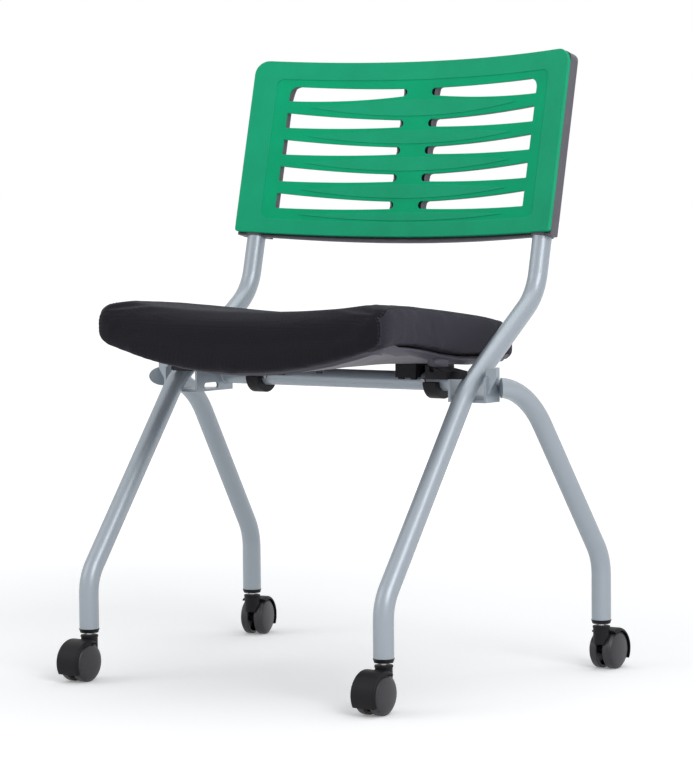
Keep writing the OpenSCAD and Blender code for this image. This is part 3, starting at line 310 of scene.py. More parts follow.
@dataclass(frozen=True)
class StretchKnit:
    """Close black stretch knit: slanting ribs crossed by rows of loops, with a soft sheen."""

    name: str = "seat_fabric"
    colour: tuple = (0.0115, 0.011, 0.0145)
    shades: tuple = (0.72, 1.35)
    rough: tuple = (0.72, 0.9)
    slant: float = 0.7
    rib_scale: float = 260.0
    rib_waver: float = 0.35
    loop_share: float = 0.6
    loop_depth: float = 0.00026
    cloud_noise: tuple = (9.0, 5.0)
    cloud_share: float = 0.5
    fibre_noise: tuple = (1900.0, 3.0)
    fibre_depth: float = 0.00006
    gloss: float = 0.12
    sheen: float = 0.12
    sheen_rough: float = 0.42
    sheen_colour: tuple = (0.72, 0.72, 0.86)

    def ribs(self, graph: Graph, turn: float) -> NodeSocket:
        """Height of ribs that run across the object at a slant.

        Args:
            graph: The material under construction.
            turn: Slant of the ribs, in radians.

        Returns:
            The ribs' height socket.
        """
        mapped = graph.add("ShaderNodeMapping", Vector=graph.place, Rotation=(turn, turn, turn))
        wave = graph.add("ShaderNodeTexWave", Vector=mapped.outputs["Vector"], Scale=self.rib_scale,
                         Distortion=self.rib_waver)
        return wave.outputs["Fac"]

    def make(self) -> Material:
        """Builds the material."""
        graph = Graph(self.name)
        graph.plain(Sheen_Weight=self.sheen, Sheen_Roughness=self.sheen_rough, Specular_IOR_Level=self.gloss)
        graph.shader.inputs["Sheen Tint"].default_value = (*self.sheen_colour, 1)
        loops = graph.maths("MULTIPLY", self.ribs(graph, self.slant), self.ribs(graph, -self.slant))
        cloud = graph.noise(*self.cloud_noise)
        shade = graph.maths("ADD", graph.maths("MULTIPLY", loops, self.loop_share),
                            graph.maths("MULTIPLY", cloud, self.cloud_share))
        graph.tint(shade, *[darker(self.colour, share) for share in self.shades])
        graph.rough(graph.spread(cloud, *self.rough))
        graph.bump(loops, self.loop_depth)
        graph.bump(graph.noise(*self.fibre_noise), self.fibre_depth)
        return graph.material


@dataclass(frozen=True)
class RawPlywood:
    """Unfinished birch plywood."""

    name: str = "plywood"
    colour: tuple = (0.46, 0.31, 0.17)
    dark_share: float = 0.7
    rough: tuple = (0.6, 0.8)
    grain_stretch: tuple = (12.0, 160.0, 160.0)
    grain_detail: float = 6.0
    grain_depth: float = 0.0002

    def make(self) -> Material:
        """Builds the material."""
        graph = Graph(self.name)
        stretched = graph.add("ShaderNodeMapping", Vector=graph.place, Scale=self.grain_stretch)
        noise = graph.add("ShaderNodeTexNoise", Vector=stretched.outputs["Vector"], Scale=1.0,
                          Detail=self.grain_detail)
        grain = noise.outputs["Fac"]
        graph.tint(grain, darker(self.colour, self.dark_share), self.colour)
        graph.rough(graph.spread(grain, *self.rough))
        graph.bump(grain, self.grain_depth)
        return graph.material


GREEN = MouldedPlastic("green_plastic", (0.007, 0.39, 0.19), (0.5, 0.6), gloss=0.16)
SUNK_GREEN = MouldedPlastic("green_fine_grain", (0.002, 0.41, 0.185), (0.58, 0.68), gloss=0.12)
SHELL_GREY = MouldedPlastic("grey_plastic", (0.118, 0.111, 0.134))
PAN_GREY = MouldedPlastic("grey_pan_plastic", (0.078, 0.072, 0.094))
BLACK = MouldedPlastic("black_plastic", (0.0090, 0.0087, 0.0108), (0.4, 0.54), gloss=0.18)
DULL_STEEL = PlatedSteel("dull_steel", (0.25, 0.255, 0.265))
BLACK_OXIDE = PlatedSteel("black_oxide_steel", (0.06, 0.06, 0.065))
# Lighter copy of the seat knit for the cushion's side panels: painted light, the sides drawn lighter than
# the front as if lit more strongly
PAINTED_LIT_SIDE_KNIT = StretchKnit("side_fabric_painted_light", (0.039, 0.0365, 0.050))


@dataclass
class Finishes:
    """Every finish on the chair, made once."""

    silver: Material = field(default_factory=PowderCoat().make)
    steel: Material = field(default_factory=PlatedSteel().make)
    green: Material = field(default_factory=GREEN.make)
    sunk_green: Material = field(default_factory=SUNK_GREEN.make)
    grey: Material = field(default_factory=SHELL_GREY.make)
    pan_grey: Material = field(default_factory=PAN_GREY.make)
    black: Material = field(default_factory=BLACK.make)
    dull_steel: Material = field(default_factory=DULL_STEEL.make)
    oxide: Material = field(default_factory=BLACK_OXIDE.make)
    wheel: Material = field(default_factory=WheelPlastic().make)
    rubber: Material = field(default_factory=BlackRubber().make)
    knit: Material = field(default_factory=StretchKnit().make)
    painted_lit_side_knit: Material = field(default_factory=PAINTED_LIT_SIDE_KNIT.make)
    thread: Material = field(default_factory=SewingThread().make)
    wood: Material = field(default_factory=RawPlywood().make)


# Shared making of pieces


def new_object(name: str, bm: BMesh) -> Object:
    """Turns a bmesh into an object of the scene.

    Args:
        name: Name of the object and its mesh.
        bm: Its shape, which is freed.

    Returns:
        The new object.
    """
    mesh = bpy.data.meshes.new(name)
    bm.to_mesh(mesh)
    bm.free()
    piece = bpy.data.objects.new(name, mesh)
    bpy.context.scene.collection.objects.link(piece)
    return piece


def full_turn(bm: BMesh, edges: list, centre: tuple, axis: tuple, steps: int) -> None:
    """Spins edges a full turn round an axis into a closed surface."""
    bmesh.ops.spin(bm, geom=edges, cent=centre, axis=axis, dvec=(0, 0, 0), angle=2 * math.pi, steps=steps,
                   use_merge=True, use_duplicate=False)


def turn_profile(bm: BMesh, points: list[tuple], axis: tuple, steps: int) -> None:
    """Adds the line through some points to a shape and spins it a full turn about the origin.

    Args:
        bm: The shape that takes it.
        points: The points of the line.
        axis: Direction of the turning axis.
        steps: Number of facets round it.
    """
    verts = [bm.verts.new(point) for point in points]
    edges = [bm.edges.new(pair) for pair in zip(verts, verts[1:])]
    full_turn(bm, edges, (0, 0, 0), axis, steps)


def cut(bm: BMesh, at: tuple, normal: tuple, **options: object) -> None:
    """Cuts a whole shape along the plane through a point and square to a normal."""
    everything = [*bm.verts, *bm.edges, *bm.faces]
    bmesh.ops.bisect_plane(bm, geom=everything, plane_co=at, plane_no=normal, **options)


def finished(name: str, bm: BMesh, material: Material, body: str) -> Object:
    """Turns a bmesh into a shaded piece that rides on a body.

    Args:
        name: Name of the piece.
        bm: Its shape, which is freed.
        material: Its finish.
        body: The body that it rides on.

    Returns:
        The new object.
    """
    bmesh.ops.remove_doubles(bm, verts=bm.verts, dist=JOINED_WITHIN)
    bmesh.ops.recalc_face_normals(bm, faces=bm.faces)
    piece = new_object(name, bm)
    piece.data.materials.append(material)
    piece.data.shade_smooth()
    piece.data.set_sharp_from_angle(angle=CRISP_FROM)
    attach(piece, body)
    log.info("%s: %d faces on %s", name, len(piece.data.polygons), body)
    return piece


def even_normals(piece: Object) -> None:
    """Weights a piece's normals by face area, so that flats beside small bevels stay flat."""
    weighted = piece.modifiers.new("even_normals", "WEIGHTED_NORMAL")
    weighted.keep_sharp = True


def dress(material: Material, *nodes: str) -> None:
    """Gives CAD nodes a finish.

    Args:
        material: The finish.
        nodes: Names of the nodes.
    """
    for name in nodes:
        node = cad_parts[name]
        node.data.materials.clear()
        node.data.materials.append(material)


def soften(width: float, *nodes: str) -> None:
    """Breaks the sharp edges of CAD nodes with live modifiers.

    Args:
        width: Width of the broken edge, in metres.
        nodes: Names of the nodes.
    """
    for name in nodes:
        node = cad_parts[name]
        weld = node.modifiers.new("weld", "WELD")
        weld.merge_threshold = WELDED_WITHIN
        break_edges(node, width)


def break_edges(piece: Object, width: float) -> None:
    """Rounds a piece's sharp edges with a live modifier.

    Args:
        piece: The piece.
        width: Width of the rounding, in metres.
    """
    bevel = piece.modifiers.new("broken_edges", "BEVEL")
    bevel.width = width
    bevel.segments = 2
    bevel.limit_method = "ANGLE"
    bevel.angle_limit = BROKEN_FROM
    bevel.harden_normals = True


def merged_copy(node: str) -> BMesh:
    """Copy of a CAD node's mesh with its loose triangles joined.

    Args:
        node: Name of the node.

    Returns:
        The copy.
    """
    bm = bmesh.new()
    bm.from_mesh(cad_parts[node].data)
    bmesh.ops.remove_doubles(bm, verts=bm.verts, dist=JOINED_WITHIN)
    bmesh.ops.recalc_face_normals(bm, faces=bm.faces)
    bm.normal_update()
    return bm


def ease(value: float, start: float, end: float) -> float:
    """Smooth step from 0 at the start to 1 at the end."""
    share = min(1.0, max(0.0, (value - start) / (end - start)))
    return share * share * (3 - 2 * share)


def window(value: float, rise: tuple, fall: tuple) -> float:
    """1 between two smooth slopes, one rising and one falling, and 0 outside them."""
    return ease(value, *rise) * (1 - ease(value, *fall))


def facing(direction: Vector, at: Vector) -> Matrix:
    """Placement that turns local z to a direction.

    Args:
        direction: Where local z points.
        at: Where the origin goes.

    Returns:
        The placement matrix.
    """
    return Matrix.Translation(at) @ direction.to_track_quat("Z", "Y").to_matrix().to_4x4()


# Frame


@dataclass
class TubeFrame:
    """The two side tubes, the two rear legs, the gussets and the cross tube."""

    finishes: Finishes
    tube_d: float = 0.0254
    wall: float = 0.0015
    side_x: float = FRONT_X
    front_y: float = -HALF_BASE
    foot_z: float = 0.066
    front_bend_z: float = 0.1315
    front_bend_r: float = 0.062
    knee: tuple = (-0.0248, 0.3765)
    knee_r: float = 0.110
    hip: tuple = (0.139, 0.4908)
    hip_r: float = 0.075
    recline: float = RECLINE
    upright_end_z: float = 0.7136
    rear_root_x: float = 0.269
    rear_foot_x: float = REAR_X
    rear_y: float = HALF_BASE
    rear_top: tuple = (0.0515, 0.380)
    rear_top_r: float = 0.120
    rear_root_y: float = -0.004
    root_slant: tuple = (0.77, 0.64)
    rear_bend_z: float = 0.1465
    rear_bend_r: float = 0.070
    around: int = 40
    bend_steps: int = 14
    bead_r: float = 0.0016
    bead_in_share: float = 0.4
    ripple: float = 0.00025
    ripple_steps: int = 90
    ripple_every: int = 3
    bead_sides: int = 8

    def side_path(self, side: Side) -> list[Vector]:
        """Corners of a side tube, from its foot to its end inside the backrest.

        Args:
            side: Which side's tube.

        Returns:
            The corners.
        """
        x = side.value * self.side_x
        hip_y, hip_z = self.hip
        end_y = hip_y + (self.upright_end_z - hip_z) * math.tan(self.recline)
        corners = [(self.front_y, self.foot_z), (self.front_y, self.front_bend_z), self.knee, self.hip,
                   (end_y, self.upright_end_z)]
        return [Vector((x, y, z)) for y, z in corners]

    def rear_path(self, side: Side) -> list[Vector]:
        """Corners of a rear leg, from its root at the gusset to its foot.

        Args:
            side: Which side's leg.

        Returns:
            The corners.
        """
        root_x = side.value * self.rear_root_x
        foot_x = side.value * self.rear_foot_x
        top_y, top_z = self.rear_top
        corners = [(root_x, self.rear_root_y - self.tube_d, top_z), (root_x, top_y, top_z),
                   (foot_x, self.rear_y, self.rear_bend_z), (foot_x, self.rear_y, self.foot_z)]
        return [Vector(corner) for corner in corners]

    def tube(self, path: list[Vector], bends: list[float]) -> BMesh:
        """Tube's skin through the corners of a path, by extruding and spinning a ring.

        Args:
            path: Corners of the centre line.
            bends: Centre-line radius at each inner corner.

        Returns:
            The tube's shape.
        """
        bm = bmesh.new()
        start = facing(path[1] - path[0], path[0])
        bmesh.ops.create_circle(bm, segments=self.around, radius=self.tube_d / 2, matrix=start)
        ring = list(bm.edges)
        at = path[0]
        for before, corner, after, bend in zip(path, path[1:], path[2:], bends):
            u = (corner - before).normalized()
            v = (after - corner).normalized()
            angle = u.angle(v)
            trim = bend * math.tan(angle / 2)
            ring = self.straight(bm, ring, corner - u * trim - at)
            at = corner - u * trim
            inward = (v - u * u.dot(v)).normalized()
            turned = bmesh.ops.spin(bm, geom=ring, cent=at + inward * bend, axis=u.cross(v), dvec=(0, 0, 0),
                                    angle=angle, steps=self.bend_steps, use_duplicate=False)
            ring = [g for g in turned["geom_last"] if isinstance(g, BMEdge)]
            at = corner + v * trim
        self.straight(bm, ring, path[-1] - at)
        bmesh.ops.recalc_face_normals(bm, faces=bm.faces)
        return bm

    def straight(self, bm: BMesh, ring: list, run: Vector) -> list:
        """Extrudes a ring along a straight run.

        Args:
            bm: The shape that holds the ring.
            ring: Edges of the ring.
            run: How far, and which way.

        Returns:
            The edges of the new ring.
        """
        made = bmesh.ops.extrude_edge_only(bm, edges=ring)["geom"]
        verts = [g for g in made if isinstance(g, BMVert)]
        bmesh.ops.translate(bm, verts=verts, vec=run)
        ends = set(verts)
        return [g for g in made if isinstance(g, BMEdge) and set(g.verts) <= ends]

    def side_tubes(self) -> None:
        """Builds both side tubes in place of their nodes."""
        bends = [self.front_bend_r, self.knee_r, self.hip_r]
        for side in Side:
            name = "side_tube_" + side.name.lower()
            bm = self.tube(self.side_path(side), bends)
            bmesh.ops.solidify(bm, geom=list(bm.faces), thickness=self.wall)
            tube = finished("smooth_" + name, bm, self.finishes.silver, "frame")
            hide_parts(name)

    def rear_legs(self) -> None:
        """Builds both rear legs in place of their nodes, cut off at a slant and closed at the root."""
        for side in Side:
            name = "rear_leg_" + side.name.lower()
            bm = self.tube(self.rear_path(side), [self.rear_top_r, self.rear_bend_r])
            across, along = self.root_slant
            cut(bm, (side.value * self.rear_root_x, self.rear_root_y, 0), (side.value * across, along, 0),
                clear_inner=True)
            bmesh.ops.holes_fill(bm, edges=[edge for edge in bm.edges if edge.is_boundary])
            leg = finished("smooth_" + name, bm, self.finishes.silver, "frame")
            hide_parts(name)

    def weld_beads(self) -> None:
        """Lays a rippled bead round each end of the cross tube."""
        low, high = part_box("cross_tube")
        middle = (low + high) / 2
        radius = (high.z - low.z) / 2
        for side in Side:
            end = low.x if side is Side.LEFT else high.x
            bm = bmesh.new()
            inset = side.value * self.bead_r * self.bead_in_share
            placed = Matrix.Translation((end - inset, middle.y, middle.z + radius))
            bmesh.ops.create_circle(bm, segments=self.bead_sides, radius=self.bead_r, cap_ends=True,
                                    matrix=placed)
            for axis in "YZ":
                bmesh.ops.rotate(bm, verts=bm.verts, cent=placed.translation,
                                 matrix=Matrix.Rotation(math.pi / 2, 3, axis))
            edges = list(bm.edges)
            bmesh.ops.delete(bm, geom=list(bm.faces), context="FACES_ONLY")
            full_turn(bm, edges, (end, middle.y, middle.z), (1, 0, 0), self.ripple_steps)
            for vert in bm.verts:
                around = math.atan2(vert.co.y - middle.y, vert.co.z - middle.z)
                wave = math.sin(around * self.ripple_steps / self.ripple_every)
                vert.co.x += side.value * self.ripple * wave
            name = "weld_cross_tube_" + side.name.lower()
            finished(name, bm, self.finishes.silver, "frame")

    def build(self) -> None:
        """Builds and dresses the whole frame."""
        self.side_tubes()
        self.rear_legs()
        self.weld_beads()
        dress(self.finishes.silver, "gusset_left", "gusset_right", "cross_tube")
        dress(self.finishes.dull_steel, "hinge_stops")
        soften(BROKEN_EDGE, "gusset_left", "gusset_right")


# Backrest


@dataclass
class Backrest:
    """The green slotted panel with its rim, and the grey shell behind it."""

    finishes: Finishes
    width: float = 0.506
    height: float = 0.242
    sag: float = 0.038
    base_y: float = 0.1345
    base_z: float = 0.573
    recline: float = RECLINE
    thick: float = 0.0026
    rim_depth: float = 0.007
    corner_r: float = 0.020
    foot_r: float = 0.004
    sharp_r: float = 0.001
    border: float = 0.034
    border_end_share: float = 0.75
    field_drop: float = 0.0009
    field_r: float = 0.010
    rows: int = 5
    pitch: float = 0.0376
    outer_h: float = 0.0204
    inner_h: float = 0.010
    outer_x: float = 0.200
    inner_x: float = 0.020
    first_v: float = 0.036
    low_rise: float = 0.0025
    top_rise: float = 0.008
    solid_first_v: float = 0.033
    shell_room: float = 0.003
    shell_end_room: float = 0.002
    shell_inner_room: float = 0.006
    shell_drop: float = 0.004
    top_shell_lift: float = 0.0124
    slot_power: float = 1.4
    slot_corner_r: float = 0.013
    slot_foot_r: float = 0.0012
    slot_steps: int = 12
    inner_rise: tuple = (0.002, 0.016)
    inner_fall: tuple = (0.03, 0.06)
    outer_from: tuple = (0.012, 0.004)
    outer_fall: tuple = (0.208, 0.225)
    drop_from: float = 0.02
    lens_x_share: float = 0.83
    lens_h_share: float = 0.35
    foot_lens_v: float = 0.0275
    foot_lens_rise: float = 0.0058
    edge_round: float = 0.0009
    rim_round: float = 0.0002
    lens_round: float = 0.0006
    lens_near: float = 0.0001
    field_under: float = 0.002
    bend_step: float = 0.011
    bend_within: float = 1e-7
    foot_steps: int = 4
    corner_steps: int = 10
    field_steps: int = 6
    slot_end_steps: int = 10
    slot_foot_steps: int = 3
    slot_corner_steps: int = 8
    lens_steps: int = 16

    def outline(self, inset: float) -> list[tuple[float, float]]:
        """Outline of the panel, drawn in by an inset, as points across and up.

        Args:
            inset: How far it is drawn in.

        Returns:
            The outline's points.
        """
        half = self.width / 2 - inset
        top = self.height - inset
        r = self.corner_r - inset
        foot_r = max(self.foot_r - inset, self.sharp_r)
        right = arc((half - foot_r, inset + foot_r), foot_r, -90, 0, self.foot_steps)
        right += arc((half - r, top - r), r, 0, 90, self.corner_steps)
        return right + [(-x, v) for x, v in reversed(right)]

    def field_outline(self) -> list[tuple[float, float]]:
        """Outline of the sunk field inside the plain border.

        Returns:
            The outline's points.
        """
        half = self.width / 2 - self.border
        low = self.border * self.border_end_share - self.field_r / 2
        high = self.height - self.border * self.border_end_share
        r = self.field_r
        right = arc((half - r, low + r), r, -90, 0, self.field_steps)
        right += arc((half - r, high - r), r, 0, 90, self.field_steps)
        return right + [(-x, v) for x, v in reversed(right)]

    def rise(self, row: int) -> float:
        """How far a slot's lower edge rises towards the middle."""
        return self.top_rise if row == self.rows - 1 else self.low_rise

    def low_edge(self, row: int, share: float) -> float:
        """Height of a slot's lower edge at a share of the way out."""
        return self.first_v + row * self.pitch + self.rise(row) * (1 - share) ** 2

    def high_edge(self, row: int, share: float) -> float:
        """Height of a slot's upper edge at a share of the way out."""
        start = self.low_edge(row, 0) + self.inner_h
        return start + (self.outer_h - self.inner_h - self.rise(row)) * share ** self.slot_power

    def slot(self, row: int, side: Side) -> list[tuple[float, float]]:
        """Outline of one slot: round at its inner end, taller at its outer end.

        Args:
            row: The slot's row, from the bottom.
            side: Which side of the middle it is on.

        Returns:
            The outline's points.
        """
        end_r = self.inner_h / 2
        start_x = self.inner_x + end_r
        run = self.outer_x - start_x
        steps = self.slot_steps
        foot = self.slot_foot_r
        corner = self.slot_corner_r if row == self.rows - 1 else foot
        points = arc((start_x, self.low_edge(row, 0) + end_r), end_r, 90, 270, self.slot_end_steps)
        points += [(start_x + run * i / steps, self.low_edge(row, i / steps)) for i in range(1, steps)]
        foot_at = (self.outer_x - foot, self.low_edge(row, 1) + foot)
        points += arc(foot_at, foot, -90, 0, self.slot_foot_steps)
        top = self.high_edge(row, 1)
        points += arc((self.outer_x - corner, top - corner), corner, 0, 90, self.slot_corner_steps)
        rim = self.outer_x - corner - self.sharp_r
        shares = [i / steps for i in range(steps - 1, 0, -1)]
        points += [(start_x + run * share, self.high_edge(row, share)) for share in shares
                   if start_x + run * share < rim]
        return [(side.value * x, v) for x, v in points]

    def lens(self, row: int) -> list[tuple[float, float]]:
        """Outline of the raised lens between two rows of slots, pointed at both ends.

        Args:
            row: The row below the lens.

        Returns:
            The outline's points.
        """
        half = self.outer_x * self.lens_x_share
        low, high = self.high_edge(row, 0), self.low_edge(row + 1, 0)
        return self.bow(half, (low + high) / 2, (high - low) * self.lens_h_share)

    def bow(self, half: float, middle: float, rise: float) -> list[tuple[float, float]]:
        """Outline pointed at both ends and swelling to a rise each way at its middle.

        Args:
            half: Half its length.
            middle: Height of its middle line.
            rise: Half its greatest height.

        Returns:
            The outline's points.
        """
        steps = self.lens_steps
        shares = [i / steps for i in range(-steps, steps)]
        lower = [(half * share, middle - rise * (1 - share ** 2)) for share in shares]
        return lower + [(-x, 2 * middle - v) for x, v in lower]

    def plate(self, outer: list, holes: list, near: float, far: float, round_edge: float) -> BMesh:
        """Flat plate with rounded edges between two depths.

        Args:
            outer: Its outline.
            holes: Outlines of its holes.
            near: Depth of its front.
            far: Depth of its back.
            round_edge: Radius of its edges.

        Returns:
            The plate's shape, across along x, up along y and depth along z.
        """
        curve = bpy.data.curves.new("plate", "CURVE")
        curve.dimensions = "2D"
        curve.fill_mode = "BOTH"
        for loop in [outer, *holes]:
            spline = curve.splines.new("POLY")
            spline.points.add(len(loop) - 1)
            for point, (x, v) in zip(spline.points, loop):
                point.co = (x, v, 0, 1)
            spline.use_cyclic_u = True
        curve.extrude = (far - near) / 2 - round_edge
        curve.bevel_depth = round_edge
        curve.bevel_resolution = 2
        curve.offset = -round_edge
        holder = bpy.data.objects.new("plate", curve)
        bpy.context.scene.collection.objects.link(holder)
        mesh = bpy.data.meshes.new_from_object(holder.evaluated_get(bpy.context.evaluated_depsgraph_get()))
        bpy.data.objects.remove(holder)
        bm = bmesh.new()
        bm.from_mesh(mesh)
        bpy.data.meshes.remove(mesh)
        bpy.data.curves.remove(curve)
        bmesh.ops.remove_doubles(bm, verts=bm.verts, dist=JOINED_WITHIN)
        bmesh.ops.translate(bm, verts=bm.verts, vec=(0, 0, (near + far) / 2))
        return bm

    def curve_round(self, bm: BMesh) -> None:
        """Cuts a flat plate into strips and lays it on the backrest's curve, leaning back.

        Args:
            bm: The plate, which is changed.
        """
        cuts = int(self.width / self.bend_step / 2)
        for i in range(-cuts, cuts + 1):
            cut(bm, (i * self.bend_step, 0, 0), (1, 0, 0), dist=self.bend_within)
        radius = (self.width ** 2 / 4 + self.sag ** 2) / (2 * self.sag)
        for vert in bm.verts:
            x, v, n = vert.co
            back = self.sag - radius + math.sqrt((radius + n) ** 2 - x * x)
            vert.co = (x, self.base_y + back * math.cos(self.recline) + v * math.sin(self.recline),
                       self.base_z - back * math.sin(self.recline) + v * math.cos(self.recline))

    def panel(self) -> None:
        """Builds the green panel from its border, its sunk field, its lenses and its rim."""
        slots = [self.slot(row, side) for row in range(self.rows) for side in Side]
        field_edge = self.field_outline()
        fine = self.rim_round
        plates = [
            self.plate(self.outline(0), [field_edge], 0, self.thick, self.edge_round),
            self.plate(self.outline(fine), [self.outline(self.thick)], self.thick / 2, self.rim_depth, fine),
        ]
        lenses = [self.lens(row) for row in range(self.rows - 1)]
        lenses.append(self.bow(self.outer_x * self.lens_x_share, self.foot_lens_v, self.foot_lens_rise))
        plates += [self.plate(lens, [], self.lens_near, self.thick / 2, self.lens_round) for lens in lenses]
        border = self.joined("back_panel_border", plates, self.finishes.green)
        field_plate = self.plate(self.grown_field(), slots, self.field_drop, self.thick, self.edge_round)
        sunk = self.joined("back_panel_field", [field_plate], self.finishes.sunk_green)
        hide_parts("back_panel")
        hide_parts("back_panel")

    def joined(self, name: str, plates: list, finish: Material) -> Object:
        """Lays flat plates on the backrest's curve and joins them in one piece.

        Args:
            name: Name of the piece.
            plates: The plates, which are freed.
            finish: Their finish.

        Returns:
            The piece.
        """
        whole = bmesh.new()
        for plate in plates:
            self.curve_round(plate)
            bmesh.ops.recalc_face_normals(plate, faces=plate.faces)
            mesh = bpy.data.meshes.new("part")
            plate.to_mesh(mesh)
            plate.free()
            whole.from_mesh(mesh)
            bpy.data.meshes.remove(mesh)
        piece = finished(name, whole, finish, "frame")
        even_normals(piece)
        return piece

    def grown_field(self) -> list[tuple[float, float]]:
        """Outline of the field's plate, which reaches a little way under the border.

        Returns:
            The outline's points.
        """
        under = self.field_under
        half = self.width / 2 - self.border + under
        low = self.border * self.border_end_share - self.field_r / 2 - under
        high = self.height - self.border * self.border_end_share + under
        return [(-half, low), (half, low), (half, high), (-half, high)]

    def shell_knots(self) -> list[tuple[float, float]]:
        """Heights on the solid shell and how far each moves up, so that its slots clear the panel's.

        Returns:
            Pairs of a height and a lift, from the bottom up.
        """
        lift = self.first_v - self.solid_first_v
        knots = [(0.0, 0.0)]
        for row in range(self.rows):
            low = self.solid_first_v + row * self.pitch
            opened = self.top_shell_lift if row == self.rows - 1 else lift + self.shell_room
            knots += [(low + self.low_rise, lift - self.shell_room), (low + self.inner_h, opened),
                      (low + self.outer_h, opened)]
        return knots + [(self.height, 0.0)]

    def shell(self) -> None:
        """Builds the shell from its solid, with its slots opened a little round the panel's."""
        bm = merged_copy("back_shell")
        up = Vector((0, math.sin(self.recline), math.cos(self.recline)))
        base = Vector((0, self.base_y, self.base_z))
        knots = self.shell_knots()
        outer_rise = [self.outer_x - margin for margin in self.outer_from]
        for vert in bm.verts:
            v = (vert.co - base).dot(up)
            for (low, low_lift), (high, high_lift) in zip(knots, knots[1:]):
                if low < v <= high:
                    vert.co += up * (low_lift + (high_lift - low_lift) * (v - low) / (high - low))
            across = abs(vert.co.x)
            bottom = 1 - ease(v, 0.0, self.drop_from)
            vert.co -= up * self.shell_drop * (2 * across / self.width) ** 2 * bottom
            inner = window(across, self.inner_rise, self.inner_fall) * self.shell_inner_room
            outer = window(across, outer_rise, self.outer_fall) * self.shell_end_room
            vert.co.x += math.copysign(outer - inner, vert.co.x)
        shell = finished("back_shell_opened", bm, self.finishes.grey, "frame")
        break_edges(shell, BROKEN_EDGE)
        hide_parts("back_shell")

    def build(self) -> None:
        """Builds the panel and the shell and dresses the screws."""
        self.panel()
        self.shell()
        dress(self.finishes.black, "back_screws")


def arc(centre: tuple, radius: float, start: float, end: float, steps: int) -> list[tuple[float, float]]:
    """Points along an arc.

    Args:
        centre: Its centre.
        radius: Its radius.
        start: Angle of its first point, in degrees.
        end: Angle of its last point, in degrees.
        steps: Number of stretches between the points.

    Returns:
        The points.
    """
    angles = [math.radians(start + (end - start) * i / steps) for i in range(steps + 1)]
    return [(centre[0] + radius * math.cos(a), centre[1] + radius * math.sin(a)) for a in angles]


# Seat


